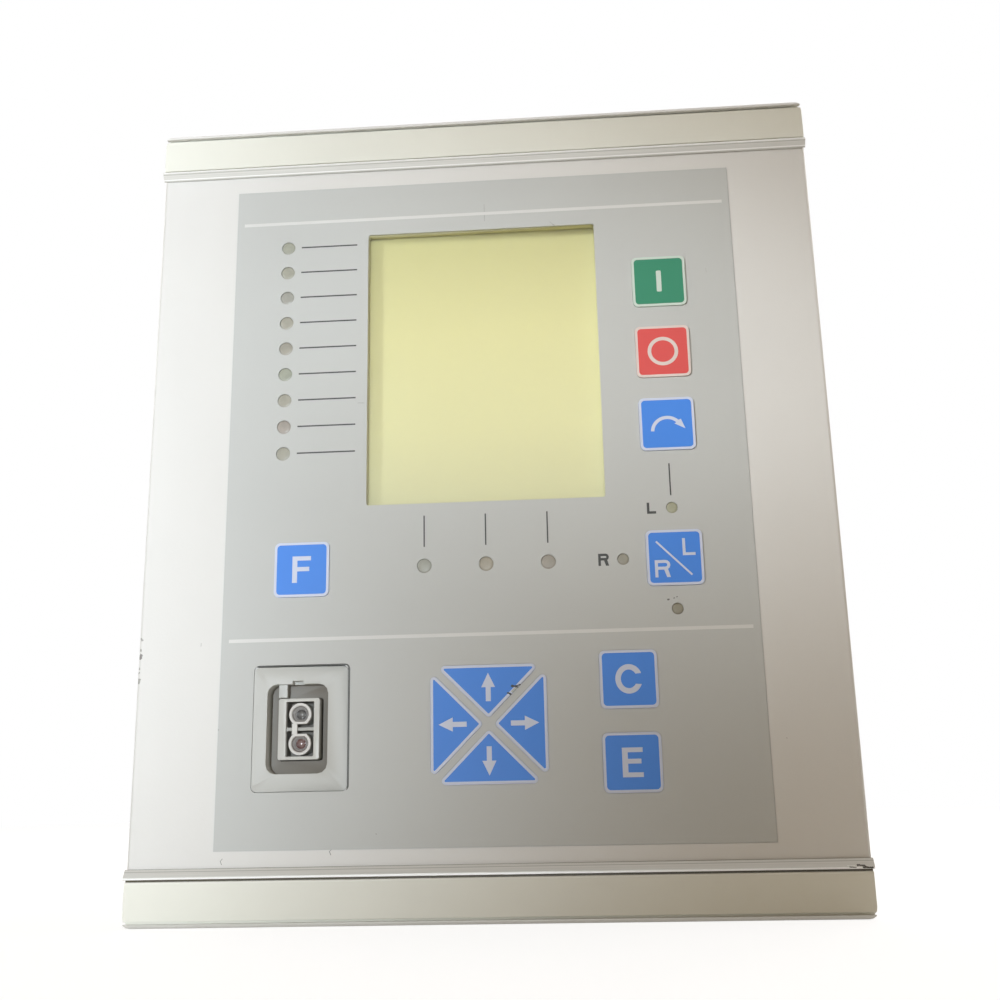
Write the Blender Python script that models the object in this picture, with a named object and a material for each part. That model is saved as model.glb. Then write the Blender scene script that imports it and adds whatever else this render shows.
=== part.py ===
"""Protection relay: a half-rack, 6U feeder terminal with a keypad, a display and an optical port.

Metres, +Z up.  The front looks along -Y, X runs to the right of someone who faces it, and the
origin lies under the middle of the whole unit.  Depths are counted from the rails' front lips
towards the rear, and face positions from the middle of the overlay film.
"""

import math

import bpy
import bmesh
from mathutils import Matrix, Vector

# Overall sizes: a 6U front on half of a 19 inch rack, with its case behind it.
FRONT_W = 0.2237
FRONT_H = 0.2659
DEPTH = 0.2350
LAP_X = 0.00545         # how far the front reaches past the case at each side
LAP_Z = 0.00805         # and above and below it, where it seats on the cabinet's panel
REAR_PROUD = 0.0120     # how far the terminals stand behind the slot plates
SHEET = 0.0015          # case sheet
GAP = 0.0003            # between pieces that rest on each other
RUN = 0.00015           # round a key in the film
CORNER_R = 0.0030       # the frame's four corners

# Rails: one extrusion, used at the top and turned over at the bottom.
RAIL_H = 0.0169
RAIL_BACK = 0.0073      # depth of the seat on the cabinet's panel
LIP_OUT = 0.0012        # width of the outer lip
LIP_IN = 0.0008         # width of the inner lip
LIP_T = 0.0013          # how thick the lips are
UNDERCUT = 0.0005       # how far the lips reach over the strip
CHANNEL = 0.0027        # depth of the channel's floor
BEVEL_W = 0.0022        # slope from the inner lip down to the plate
SLOT_IN = 0.0011        # how far the plate reaches into the rail
NOSE = 0.00025          # thickness of the slope's lower edge
FOOT_T = 0.0020         # flange behind the plate
FOOT_W = 0.0030
PORT_R = 0.0015         # screw port in the rail's back
PORT_WALL = 0.0009
STRIP_T = 0.0008        # label strip: flat edges under the lips, raised middle
STRIP_CROWN = 0.0010
STRIP_EDGE = 0.0007     # dark step between lip and crown

# Front plate, film and what shows through them.
PLATE_SET = 0.0020
PLATE_T = 0.0030
PLATE_SIDE = 0.0002     # the rails reach this far past the plate
PLATE_R = 0.0012
RETURN_T = 0.0024
FILM_SIDE = 0.02685     # bare plate at each side of the film
FILM_OVER = 0.0058      # and above it, up to the rail
FILM_UNDER = 0.0048
FILM_T = 0.0005
FILM_PROUD = 0.0001
VIEW_TOP = 0.01845      # film above the display opening
VIEW_LOW = 0.0205       # from the opening down to the middle row's line
VIEW_SIDE = 0.0120      # from the opening to the keys beside it
WINDOW_T = 0.0010
WINDOW_LAP = 0.0030
GLASS_T = 0.0028
GLASS_LAP = 0.0040
BEZEL_T = 0.0030
BOARD_FRONT = 0.0140    # depth of the keypad board's front
BOARD_T = 0.0016
BOARD_LAP = 0.0150      # past the outer rows of keys and lamps
SPACER_R = 0.0025       # spacers that hold a board off what is in front of it
SPACER_IN = 0.0060      # from a board's edge

# Keys.
KEY = 0.0177
KEY_R = 0.0018
KEY_PITCH = 0.0250
KEY_PROUD = 0.0004
KEY_EDGE = 0.00025
KEY_FLANGE = 0.0009
KEY_FLANGE_T = 0.0010
KEY_ROOM = 0.0004       # between a flange and the plate
KEY_STEM = 0.0036       # half width of the plunger
KEY_TRAVEL = 0.0005
SWITCH_R = 0.0035
SWITCH_H = 0.0020
RIGHT_IN = 0.0252       # from the film's edge to the column of the switching keys
LEFT_IN = 0.0254        # and to the function key
ABOVE_KEYS = 0.4276     # how the film's spare height is shared out over its rows
ABOVE_MODES = 0.2304
ABOVE_LOWER = 0.1434
BESIDE_NAV = 0.3371     # share of the spare width between the arrow keys and the inner column
NAV = 0.0360            # across the four arrow keys
NAV_STRIP = 0.00175     # where an arrow key's sharp tip would be, from the middle
NAV_R = 0.0012

# Lamps.
LAMP_R = 0.0022
SMALL_LAMP_R = 0.0017
LAMP_ROOM = 0.00015
ALARM_IN = 0.0182       # from the film's edge
ALARM_TOP = 0.0035      # from the top of the display opening to the first alarm lamp
ALARM_FOOT = 0.0170     # least room from its bottom to the last one
ALARM_PITCH = 0.00926
STATUS_SPREAD = 0.0017  # the status lamps divide the display's width and this much more
STATUS_COUNT = 3
MODE_STEP = 0.0162      # from the place key to each of its lamps
LAMP_BAR = 0.0070       # width of a lamp holder
LAMP_BAR_FRONT = 0.0065

# Optical port.
PORT_IN = 0.0258        # from the film's edge
PORT_W = 0.0295
PORT_H = 0.0381
PORT_CORNER = 0.0016
PORT_SLOPE = 0.0019     # how far its face falls away to the right
PORT_SHELL = 0.0104     # depth of its back
PORT_RIM = 0.0013       # flange behind the plate
PORT_RIM_W = 0.0015
POCKET_SHIFT = 0.0010   # the pocket lies this far left of the surround's middle
POCKET_W = 0.0190
POCKET_H = 0.0275
POCKET_R = 0.0030
POCKET_FLOOR = 0.0090
NOTCH_W = 0.0034
NOTCH_H = 0.0010
CORNER_BLOCK = 0.0027   # width of the block that keys the plug, at the pocket's upper left
TOWER_W = 0.0131
TOWER_H = 0.0189
TOWER_FRONT = 0.0049
TOWER_FOOT = 0.0022
TOWER_FOOT_T = 0.0029
WELL_W = 0.0089
WELL_H = 0.0079
WELL_SHIFT = 0.0003
WELL_FLOOR = 0.0120
FIBRE_PITCH = 0.0090
FIBRE_R = 0.00355
FIBRE_FLAT = 0.0030
FIBRE_CUP = 0.0026
FIBRE_BORE = 0.0015
BRIDGE_DROP = 0.0016    # the wall between the wells stands back from the tower's front
TAB_X = 0.0017          # the tab that joins the two sockets, left of their centres
TAB_W = 0.0016
TAB_T = 0.0010

# Case and what slides into it from the rear.
FLANGE = 0.0090
BEND_R = 0.0020
COVER_LIP = 0.0120
BUS_FRONT = 0.0220
BUS_MARGIN = 0.0050
GUIDE_T = 0.0020
GUIDE_RIB = 0.0050
GUIDE_RIB_T = 0.0015
GUIDE_FRONT = 0.0400
GUIDE_SHORT = 0.0180    # from the guides' ends to the slot plates' outer faces
CARD_T = 0.0016
CARD_IN = 0.0060        # from a slot's edge to its card
CARD_FRONT = 0.0260
MATE_W = 0.0080         # connector on the card's front edge
MATE_H = 0.0900
MATE_L = 0.0120
TRANSFORMER_SLOT = 0.0640
CPU_SLOT = 0.0300
POWER_SLOT = 0.0420
IO_SLOT = 0.0300

# Pluggable terminal blocks.
PLUG_ROOM = 0.0230      # least height above and below the two plugs
POLE_PITCH = 0.00508
PLUG_W = 0.0150
PLUG_L = 0.0250
PLUG_STEP = 0.0060
PLUG_END = 0.0025
PLUG_GAP = 0.0040       # between the upper and the lower plug
SCREW_WELL_R = 0.0018
SCREW_WELL = 0.0030
WIRE_W = 0.0034
WIRE_H = 0.0036
WIRE_WELL = 0.0050
HEADER_L = 0.0100

# Ring-lug terminal block of the measuring inputs.
LUG_ROWS = 13
LUG_PITCH = 0.0100
LUG_COLUMN = 0.0200
LUG_W = 0.0150
LUG_H = 0.0078
LUG_DEEP = 0.0038
LUG_BLOCK_W = 0.0420
LUG_BLOCK_L = 0.0200

# Input transformers: a laminated core with its winding.
CORE_W = 0.0380
CORE_H = 0.0320
CORE_T = 0.0140
CORE_LIMB = 0.0064
WINDING = 0.0050
INPUTS = 5

# Interface board's relays and the power board's parts.
RELAYS = 6
RELAY_W = 0.0150
RELAY_H = 0.0280
RELAY_L = 0.0125
CARD_MARGIN = 0.0080    # bare card above and below a column of transformers or relays
CAPACITOR_R = 0.0110
CAPACITOR_L = 0.0300

# Sockets on the processor's slot plate, and the earth screw.
SOCKET_H = 0.0310
SOCKET_W = 0.0125
SOCKET_T = 0.0012
SOCKET_NOSE = 0.0060
SOCKET_BODY = 0.0100
SOCKET_STEP = 0.0500
EARTH_R = 0.0025
EARTH_HEAD = 0.0045
EARTH_HEAD_T = 0.0035
EARTH_UP = 0.0060

# Sizes and places that follow from those above.  The film lies inside the rails' opening, its
# rows share out the height that the keys and the port leave, and the display fills the rest.
Y_FRONT = -DEPTH / 2
MID_Z = FRONT_H / 2
PLATE_W = FRONT_W - 2 * PLATE_SIDE
FILM_W = PLATE_W - 2 * FILM_SIDE
FILM_H = FRONT_H - 2 * RAIL_H - FILM_OVER - FILM_UNDER
FACE_Z = RAIL_H + FILM_UNDER + FILM_H / 2

KEY_COLUMN = 2 * KEY_PITCH + KEY
MODE_COLUMN = 2 * (MODE_STEP + SMALL_LAMP_R)
LOWER_COLUMN = KEY_PITCH + KEY
SPARE_H = FILM_H - KEY_COLUMN - MODE_COLUMN - LOWER_COLUMN
UPPER_Z = FILM_H / 2 - ABOVE_KEYS * SPARE_H - KEY / 2
MIDDLE_Z = UPPER_Z + KEY / 2 - KEY_COLUMN - ABOVE_MODES * SPARE_H - MODE_COLUMN / 2
LOWER_Z = MIDDLE_Z - MODE_COLUMN / 2 - ABOVE_LOWER * SPARE_H - LOWER_COLUMN / 2
RIGHT_X = FILM_W / 2 - RIGHT_IN
LEFT_X = LEFT_IN - FILM_W / 2
INNER_X = NAV / 2 + BESIDE_NAV * (FILM_W / 2 - NAV / 2 - KEY) + KEY / 2

VIEW_W = 2 * (RIGHT_X - KEY / 2 - VIEW_SIDE)
VIEW_HIGH = FILM_H / 2 - VIEW_TOP
VIEW_H = VIEW_HIGH - MIDDLE_Z - VIEW_LOW
VIEW_Z = VIEW_HIGH - VIEW_H / 2
ALARM_X = ALARM_IN - FILM_W / 2
ALARM_Z = VIEW_HIGH - ALARM_TOP
ALARM_COUNT = int((VIEW_H - ALARM_TOP - ALARM_FOOT) / ALARM_PITCH) + 1
STATUS_PITCH = (VIEW_W + STATUS_SPREAD) / (STATUS_COUNT + 1)
PORT_X = PORT_IN - FILM_W / 2
POCKET_X = PORT_X - POCKET_SHIFT

CASE_W = FRONT_W - 2 * LAP_X
CASE_H = FRONT_H - 2 * LAP_Z
CASE_LOW = MID_Z - CASE_H / 2
CASE_TOP = MID_Z + CASE_H / 2
CASE_FRONT = RAIL_BACK + GAP
CASE_BACK = DEPTH - REAR_PROUD
GUIDE_BACK = CASE_BACK - GUIDE_SHORT
PLATE_H = FRONT_H - 2 * RAIL_H + 2 * SLOT_IN
PLATE_BACK = PLATE_SET + PLATE_T
FILM_FRONT = PLATE_SET - FILM_PROUD
FILM_BACK = FILM_FRONT + FILM_T
KEY_FRONT = FILM_FRONT - KEY_PROUD
BOARD_BACK = BOARD_FRONT + BOARD_T
INNER_HALF = CASE_W / 2 - SHEET - GAP
SLOT_FRONT = CASE_BACK - SHEET
FLANGE_BACK = SLOT_FRONT - GAP
BUS_BACK = BUS_FRONT + BOARD_T
GUIDE_LOW = CASE_LOW + SHEET + GAP
GUIDE_TOP = CASE_TOP - SHEET - GAP
CARD_LOW = GUIDE_LOW + GUIDE_T + GAP
CARD_TOP = GUIDE_TOP - GUIDE_T - GAP
POLES = int((CASE_H / 2 - SHEET - PLUG_ROOM - PLUG_GAP / 2 - 2 * PLUG_END) / POLE_PITCH)
PLUG_H = POLES * POLE_PITCH + 2 * PLUG_END
PLUG_FRONT = DEPTH - PLUG_L
PLUG_RISE = (PLUG_H + PLUG_GAP) / 2

PARTS = "protection_relay"
CUTTERS = "cutters"


def y_at(depth):
    """World Y of a depth behind the rails' front lips."""
    return Y_FRONT + depth


def clear_scene():
    for obj in list(bpy.data.objects):
        bpy.data.objects.remove(obj)
    for name in (PARTS, CUTTERS):
        group = bpy.data.collections.new(name)
        bpy.context.scene.collection.children.link(group)


def material(name, rgb, roughness, metallic=0.0, alpha=1.0):
    mat = bpy.data.materials.new(name)
    mat.use_nodes = True
    shader = mat.node_tree.nodes["Principled BSDF"]
    shader.inputs["Base Color"].default_value = (*rgb, 1.0)
    shader.inputs["Roughness"].default_value = roughness
    shader.inputs["Metallic"].default_value = metallic
    shader.inputs["Alpha"].default_value = alpha
    return mat


# Outlines: lists of points in the plane that they are later drawn out from.

def rectangle(u_low, v_low, u_high, v_high):
    return [(u_low, v_low), (u_high, v_low), (u_high, v_high), (u_low, v_high)]


def arc(u, v, radius, start, end, steps):
    """Points on an arc, with the angles in degrees."""
    turn = math.radians(end - start)
    return [(u + radius * math.cos(math.radians(start) + turn * i / steps),
             v + radius * math.sin(math.radians(start) + turn * i / steps))
            for i in range(steps + 1)]


def rounded(u, v, width, height, radius, steps=3):
    points = []
    for k, (su, sv) in enumerate(((1, 1), (-1, 1), (-1, -1), (1, -1))):
        points += arc(u + su * (width / 2 - radius), v + sv * (height / 2 - radius),
                      radius, 90 * k, 90 * k + 90, steps)
    return points


def circle(u, v, radius, sides=16):
    return arc(u, v, radius, 0, 360, sides)[:-1]


def round_corners(corners, radius, steps=3):
    """A convex outline, counter-clockwise, with an arc in each corner."""
    points = []
    count = len(corners)
    for i, corner in enumerate(corners):
        here = Vector(corner)
        back = (Vector(corners[i - 1]) - here).normalized()
        ahead = (Vector(corners[(i + 1) % count]) - here).normalized()
        half = back.angle(ahead) / 2
        centre = here + (back + ahead).normalized() * radius / math.sin(half)
        end = math.degrees(math.atan2(-ahead.x, ahead.y))
        sweep = 180 - math.degrees(2 * half)
        points += arc(centre.x, centre.y, radius, end - sweep, end, steps)
    return points


# Solids.

def add(name, mesh, mat, where=PARTS):
    """Put a mesh in the scene, with its origin in the middle of its box."""
    low = Vector([min(v.co[i] for v in mesh.vertices) for i in range(3)])
    high = Vector([max(v.co[i] for v in mesh.vertices) for i in range(3)])
    middle = (low + high) / 2
    mesh.transform(Matrix.Translation(-middle))
    mesh.name = name
    obj = bpy.data.objects.new(name, mesh)
    obj.location = middle
    if mat:
        mesh.materials.append(mat)
    if where == CUTTERS:
        obj.hide_render = True
        obj.display_type = "WIRE"
    else:
        mesh.set_sharp_from_angle(angle=math.radians(30))
    bpy.data.collections[where].objects.link(obj)
    return obj


# Which world axes the two directions of an outline and its depth run along.
PLANES = {
    "Y": Matrix(((1, 0, 0), (0, 0, -1), (0, 1, 0))),
    "X": Matrix(((0, 0, 1), (1, 0, 0), (0, 1, 0))),
    "Z": Matrix(((1, 0, 0), (0, 1, 0), (0, 0, 1))),
}


def face_out(bm, faces):
    """Turn the faces of one closed body outwards."""
    bmesh.ops.recalc_face_normals(bm, faces=faces)
    middle = faces[0].calc_center_median()
    volume = sum((f.calc_center_median() - middle).dot(f.normal) * f.calc_area() for f in faces)
    if volume < 0:
        bmesh.ops.reverse_faces(bm, faces=faces)


def drawn(name, loops, axis, low, high, mat=None, where=PARTS):
    """A flat outline with its holes, drawn out along one axis between two planes.

    Outlines are (x, z) along Y, (y, z) along X and (x, y) along Z.
    """
    curve = bpy.data.curves.new(name, "CURVE")
    curve.dimensions = "2D"
    curve.fill_mode = "BOTH"
    curve.extrude = (high - low) / 2
    for loop in loops:
        spline = curve.splines.new("POLY")
        spline.points.add(len(loop) - 1)
        for point, (u, v) in zip(spline.points, loop):
            point.co = (u, v, 0, 1)
        spline.use_cyclic_u = True
    holder = bpy.data.objects.new(name, curve)
    bpy.context.scene.collection.objects.link(holder)
    bpy.context.view_layer.update()
    depsgraph = bpy.context.evaluated_depsgraph_get()
    mesh = bpy.data.meshes.new_from_object(holder.evaluated_get(depsgraph))
    bpy.data.objects.remove(holder)
    bpy.data.curves.remove(curve)

    middle = Vector(((low + high) / 2 if axis == a else 0) for a in "XYZ")
    mesh.transform(Matrix.Translation(middle) @ PLANES[axis].to_4x4())
    bm = bmesh.new()
    bm.from_mesh(mesh)
    bmesh.ops.remove_doubles(bm, verts=bm.verts, dist=1e-6)
    bmesh.ops.recalc_face_normals(bm, faces=bm.faces)
    bm.to_mesh(mesh)
    bm.free()
    return add(name, mesh, mat, where)


def box(name, low, high, mat=None, where=PARTS):
    bm = bmesh.new()
    bmesh.ops.create_cube(bm, size=1)
    size = Vector(high) - Vector(low)
    bmesh.ops.scale(bm, vec=size, verts=bm.verts)
    bmesh.ops.translate(bm, vec=Vector(low) + size / 2, verts=bm.verts)
    mesh = bpy.data.meshes.new(name)
    bm.to_mesh(mesh)
    bm.free()
    return add(name, mesh, mat, where)


def stepped(name, outline, inner, steps, centres, mat=None, where=PARTS):
    """Prisms along +Y, drawn out step by step like a turned part, but from any outline.

    The outline lies about its own centre, inner is the radius of the circle that touches its
    sides, and each step is a depth and how far the sides then lie from that centre.
    """
    bm = bmesh.new()
    for cx, cz in centres:
        before = set(bm.faces)
        depth, reach = steps[0]
        scale = reach / inner
        face = bm.faces.new([bm.verts.new((cx + u * scale, y_at(depth), cz + v * scale))
                             for u, v in outline])
        for k, (depth, new_reach) in enumerate(steps[1:]):
            grown = bmesh.ops.extrude_face_region(bm, geom=[face])["geom"]
            if k:
                bmesh.ops.delete(bm, geom=[face], context="FACES_ONLY")
            for vert in (g for g in grown if isinstance(g, bmesh.types.BMVert)):
                vert.co.x = cx + (vert.co.x - cx) * new_reach / reach
                vert.co.z = cz + (vert.co.z - cz) * new_reach / reach
                vert.co.y = y_at(depth)
            face = next(g for g in grown if isinstance(g, bmesh.types.BMFace))
            reach = new_reach
        face_out(bm, [f for f in bm.faces if f not in before])
    mesh = bpy.data.meshes.new(name)
    bm.to_mesh(mesh)
    bm.free()
    return add(name, mesh, mat, where)


def merged(name, objects):
    """One cutter or joining piece out of several that don't touch each other."""
    bm = bmesh.new()
    for obj in objects:
        obj.data.transform(Matrix.Translation(obj.location))
        bm.from_mesh(obj.data)
        bpy.data.objects.remove(obj)
    mesh = bpy.data.meshes.new(name)
    bm.to_mesh(mesh)
    bm.free()
    return add(name, mesh, None, CUTTERS)


def boolean(obj, operation, *others):
    for other in others:
        modifier = obj.modifiers.new(other.name, "BOOLEAN")
        modifier.operation = operation
        modifier.solver = "EXACT"
        modifier.object = other
    return obj


def cut(obj, *others):
    return boolean(obj, "DIFFERENCE", *others)


def join(obj, *others):
    return boolean(obj, "UNION", *others)


# Where things lie on the face.

def nav_outline():
    """An arrow key that points up, about the centre of the circle inside it."""
    half = NAV / 2 - NAV_STRIP
    inner = nav_inner()
    corners = [(half, inner), (-half, inner), (0, inner - half)]
    return round_corners(corners, NAV_R, 2)


def nav_inner():
    return (NAV / 2 - NAV_STRIP) * (math.sqrt(2) - 1)


def turned(points, quarter):
    """An outline turned by quarter turns, counter-clockwise as seen from the front."""
    for _ in range(quarter):
        points = [(-v, u) for u, v in points]
    return points


def square_keys():
    """Name, place and pad material of each square key."""
    upper = FACE_Z + UPPER_Z
    lower = FACE_Z + LOWER_Z
    return [("key_close", RIGHT_X, upper, "key_green"),
            ("key_open", RIGHT_X, upper - KEY_PITCH, "key_red"),
            ("key_select", RIGHT_X, upper - 2 * KEY_PITCH, "key_blue"),
            ("key_place", RIGHT_X, FACE_Z + MIDDLE_Z, "key_blue"),
            ("key_function", LEFT_X, FACE_Z + MIDDLE_Z, "key_blue"),
            ("key_cancel", INNER_X, lower + KEY_PITCH / 2, "key_blue"),
            ("key_enter", INNER_X, lower - KEY_PITCH / 2, "key_blue")]


def arrow_keys():
    """Name, quarter turns and place of each arrow key."""
    reach = NAV / 2 - nav_inner()
    keys = []
    for quarter, name in enumerate(("key_up", "key_left", "key_down", "key_right")):
        (dx, dz), = turned([(0, reach)], quarter)
        keys.append((name, quarter, dx, FACE_Z + LOWER_Z + dz))
    return keys


def alarm_lamps():
    return [(ALARM_X, FACE_Z + ALARM_Z - i * ALARM_PITCH) for i in range(ALARM_COUNT)]


def status_lamps():
    first = -(STATUS_COUNT - 1) / 2
    return [((first + i) * STATUS_PITCH, FACE_Z + MIDDLE_Z) for i in range(STATUS_COUNT)]


def mode_lamps():
    """The lamps above, to the left of and below the place key."""
    x, z = RIGHT_X, FACE_Z + MIDDLE_Z
    return [("local_lamp", x, z + MODE_STEP), ("remote_lamp", x - MODE_STEP, z),
            ("logic_lamp", x, z - MODE_STEP)]


def board_box():
    """The keypad board's edges: past the outer rows of keys and lamps."""
    half_w = max(-ALARM_X, RIGHT_X) + BOARD_LAP
    low = LOWER_Z - max(NAV / 2, KEY_PITCH / 2 + KEY / 2) - BOARD_LAP / 2
    high = max(ALARM_Z, VIEW_Z + VIEW_H / 2) + BOARD_LAP / 2
    return rectangle(-half_w, FACE_Z + low, half_w, FACE_Z + high)


# The frame: two rails with their label strips.

def rail_profile():
    """The rail's section: depth from the lips, and distance in from its outer edge."""
    wall_out = LIP_OUT - UNDERCUT
    slope = RAIL_H - BEVEL_W
    wall_in = slope - LIP_IN + UNDERCUT
    slot = PLATE_SET - GAP
    slot_end = RAIL_H - SLOT_IN - GAP
    slot_back = PLATE_BACK + GAP
    foot = RAIL_H + FOOT_W / 2
    relief = CHANNEL + LIP_OUT
    port = RAIL_H / 2 - LIP_OUT
    port_depth = RAIL_BACK - PORT_R * 0.93
    corner = LIP_OUT / 2
    mouth = math.degrees(math.acos(0.93))

    points = [(corner - corner * math.sin(math.radians(a)),
               corner - corner * math.cos(math.radians(a))) for a in (0, 30, 60, 90)]
    points += [(0, LIP_OUT), (LIP_T, LIP_OUT), (LIP_T, wall_out), (CHANNEL, wall_out),
               (CHANNEL, wall_in), (LIP_T, wall_in), (LIP_T, slope - LIP_IN),
               (0, slope - LIP_IN), (0, slope), (slot - NOSE, RAIL_H), (slot, RAIL_H),
               (slot, slot_end), (slot_back, slot_end), (slot_back, foot),
               (slot_back + FOOT_T, foot), (slot_back + FOOT_T, slope), (relief, slope)]
    reach = PORT_R + PORT_WALL
    points += [(relief, port + reach), (RAIL_BACK, port + reach)]
    points += arc(port_depth, port, PORT_R, mouth, 360 - mouth, 10)
    points += [(RAIL_BACK, port - reach), (relief, port - reach), (relief, LIP_OUT),
               (RAIL_BACK, LIP_OUT), (RAIL_BACK, 0)]
    return points


def strip_profile():
    """A label strip's section in the same terms: edges under the lips, raised middle."""
    low = LIP_OUT - UNDERCUT + GAP
    high = RAIL_H - BEVEL_W - LIP_IN + UNDERCUT - GAP
    back = CHANNEL - GAP
    edge = back - STRIP_T
    crown_low = LIP_OUT + STRIP_EDGE
    crown_high = RAIL_H - BEVEL_W - LIP_IN - STRIP_EDGE
    return [(back, low), (edge, low), (edge, crown_low), (edge - STRIP_CROWN, crown_low),
            (edge - STRIP_CROWN, crown_high), (edge, crown_high), (edge, high), (back, high)]


def on_edge(profile, top):
    """A section placed at the top or the bottom of the front."""
    return [(y_at(depth), FRONT_H - inward if top else inward) for depth, inward in profile]


def build_rails(metal, label):
    # The ends are trimmed to the frame's round corners, the strip a little further in.
    def corners(name, inset):
        return drawn(name, [rounded(0, MID_Z, FRONT_W - 2 * inset, FRONT_H - 2 * inset,
                                    CORNER_R, 4)],
                     "Y", y_at(-0.01), y_at(0.02), None, CUTTERS)

    frame = corners("frame_corners", 0)
    inner_frame = corners("strip_corners", GAP)
    half = FRONT_W / 2 + 0.001
    for side, top in (("top", True), ("bottom", False)):
        rail = drawn(f"{side}_rail", [on_edge(rail_profile(), top)], "X", -half, half, metal)
        boolean(rail, "INTERSECT", frame)
        strip = drawn(f"{side}_label_strip", [on_edge(strip_profile(), top)], "X",
                      -half, half, label)
        boolean(strip, "INTERSECT", inner_frame)


# The front plate and the film that is bonded into it.

def key_openings(room):
    """Outlines of every key with some room round it."""
    loops = [rounded(x, z, KEY + 2 * room, KEY + 2 * room, KEY_R)
             for _, x, z, _ in square_keys()]
    scale = 1 + room / nav_inner()
    for _, quarter, x, z in arrow_keys():
        loops.append([(x + u * scale, z + v * scale)
                      for u, v in turned(nav_outline(), quarter)])
    return loops


def lamp_openings(room, sides=16):
    loops = [circle(x, z, LAMP_R + room, sides) for x, z in alarm_lamps() + status_lamps()]
    return loops + [circle(x, z, SMALL_LAMP_R + room, sides - 4) for _, x, z in mode_lamps()]


def view_opening():
    return rounded(0, FACE_Z + VIEW_Z, VIEW_W, VIEW_H, 0.0008, 2)


def port_opening(room):
    return rounded(PORT_X, FACE_Z + LOWER_Z, PORT_W + 2 * room, PORT_H + 2 * room,
                   PORT_CORNER + room)


def plate_section():
    """Across the plate: a front with round outer edges and two returns behind it."""
    half = PLATE_W / 2
    front, back = y_at(PLATE_SET), y_at(PLATE_BACK)
    rim = y_at(RAIL_BACK)
    left = arc(-half + PLATE_R, front + PLATE_R, PLATE_R, 180, 270, 4)
    right = arc(half - PLATE_R, front + PLATE_R, PLATE_R, 270, 360, 4)
    return left + right + [(half, rim), (half - RETURN_T, rim), (half - RETURN_T, back),
                           (RETURN_T - half, back), (RETURN_T - half, rim), (-half, rim)]


def build_front_plate(paint):
    plate = drawn("front_plate", [plate_section()], "Z", MID_Z - PLATE_H / 2,
                  MID_Z + PLATE_H / 2, paint)

    # The returns end short of the rails' feet.
    foot = RAIL_H + FOOT_W / 2 + GAP
    trims = []
    for low, high in ((-0.001, foot), (FRONT_H - foot, FRONT_H + 0.001)):
        trims.append(box("return_trim", (-PLATE_W, y_at(PLATE_BACK), low),
                         (PLATE_W, y_at(RAIL_BACK + 0.001), high), None, CUTTERS))
    cut(plate, merged("return_trims", trims))

    film = rectangle(-FILM_W / 2 - RUN, FACE_Z - FILM_H / 2 - RUN,
                     FILM_W / 2 + RUN, FACE_Z + FILM_H / 2 + RUN)
    cut(plate, drawn("film_recess", [film], "Y", y_at(-0.001), y_at(FILM_BACK + GAP),
                     None, CUTTERS))

    # The film hides these, so their corners and circles have fewer facets than its own.
    room = KEY_FLANGE + KEY_ROOM
    loops = [rounded(x, z, KEY + 2 * room, KEY + 2 * room, KEY_R, 1)
             for _, x, z, _ in square_keys()]
    loops.append(rounded(0, FACE_Z + LOWER_Z, NAV + 2 * room, NAV + 2 * room, NAV_R, 1))
    loops += lamp_openings(2 * LAMP_ROOM, 12) + [view_opening(), port_opening(GAP)]
    cut(plate, drawn("plate_openings", loops, "Y", y_at(-0.001), y_at(PLATE_BACK + 0.001),
                     None, CUTTERS))


def build_film(film):
    outline = rectangle(-FILM_W / 2, FACE_Z - FILM_H / 2, FILM_W / 2, FACE_Z + FILM_H / 2)
    loops = [outline, view_opening(), port_opening(RUN)]
    loops += key_openings(RUN) + lamp_openings(LAMP_ROOM)
    drawn("overlay_film", loops, "Y", y_at(FILM_FRONT), y_at(FILM_BACK), film)


# The display and the board behind the face.

def build_display(clear, glass, plastic, white):
    z = FACE_Z + VIEW_Z
    front = PLATE_BACK + GAP
    drawn("display_window", [rounded(0, z, VIEW_W + 2 * WINDOW_LAP, VIEW_H + 2 * WINDOW_LAP,
                                     0.001, 2)],
          "Y", y_at(front), y_at(front + WINDOW_T), clear)

    front += WINDOW_T + GAP
    inner_w, inner_h = VIEW_W + 2 * GLASS_LAP, VIEW_H + 2 * GLASS_LAP
    drawn("display_glass", [rectangle(-inner_w / 2, z - inner_h / 2,
                                      inner_w / 2, z + inner_h / 2)],
          "Y", y_at(front), y_at(front + GLASS_T), glass)
    drawn("display_backlight", [rectangle(-inner_w / 2, z - inner_h / 2,
                                          inner_w / 2, z + inner_h / 2)],
          "Y", y_at(front + GLASS_T + GAP), y_at(BOARD_FRONT - GAP), white)
    hole_w, hole_h = inner_w + 2 * GAP, inner_h + 2 * GAP
    drawn("display_bezel", [rounded(0, z, hole_w + 2 * BEZEL_T, hole_h + 2 * BEZEL_T, 0.0015),
                            rectangle(-hole_w / 2, z - hole_h / 2, hole_w / 2, z + hole_h / 2)],
          "Y", y_at(front), y_at(BOARD_FRONT - GAP), plastic)


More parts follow.
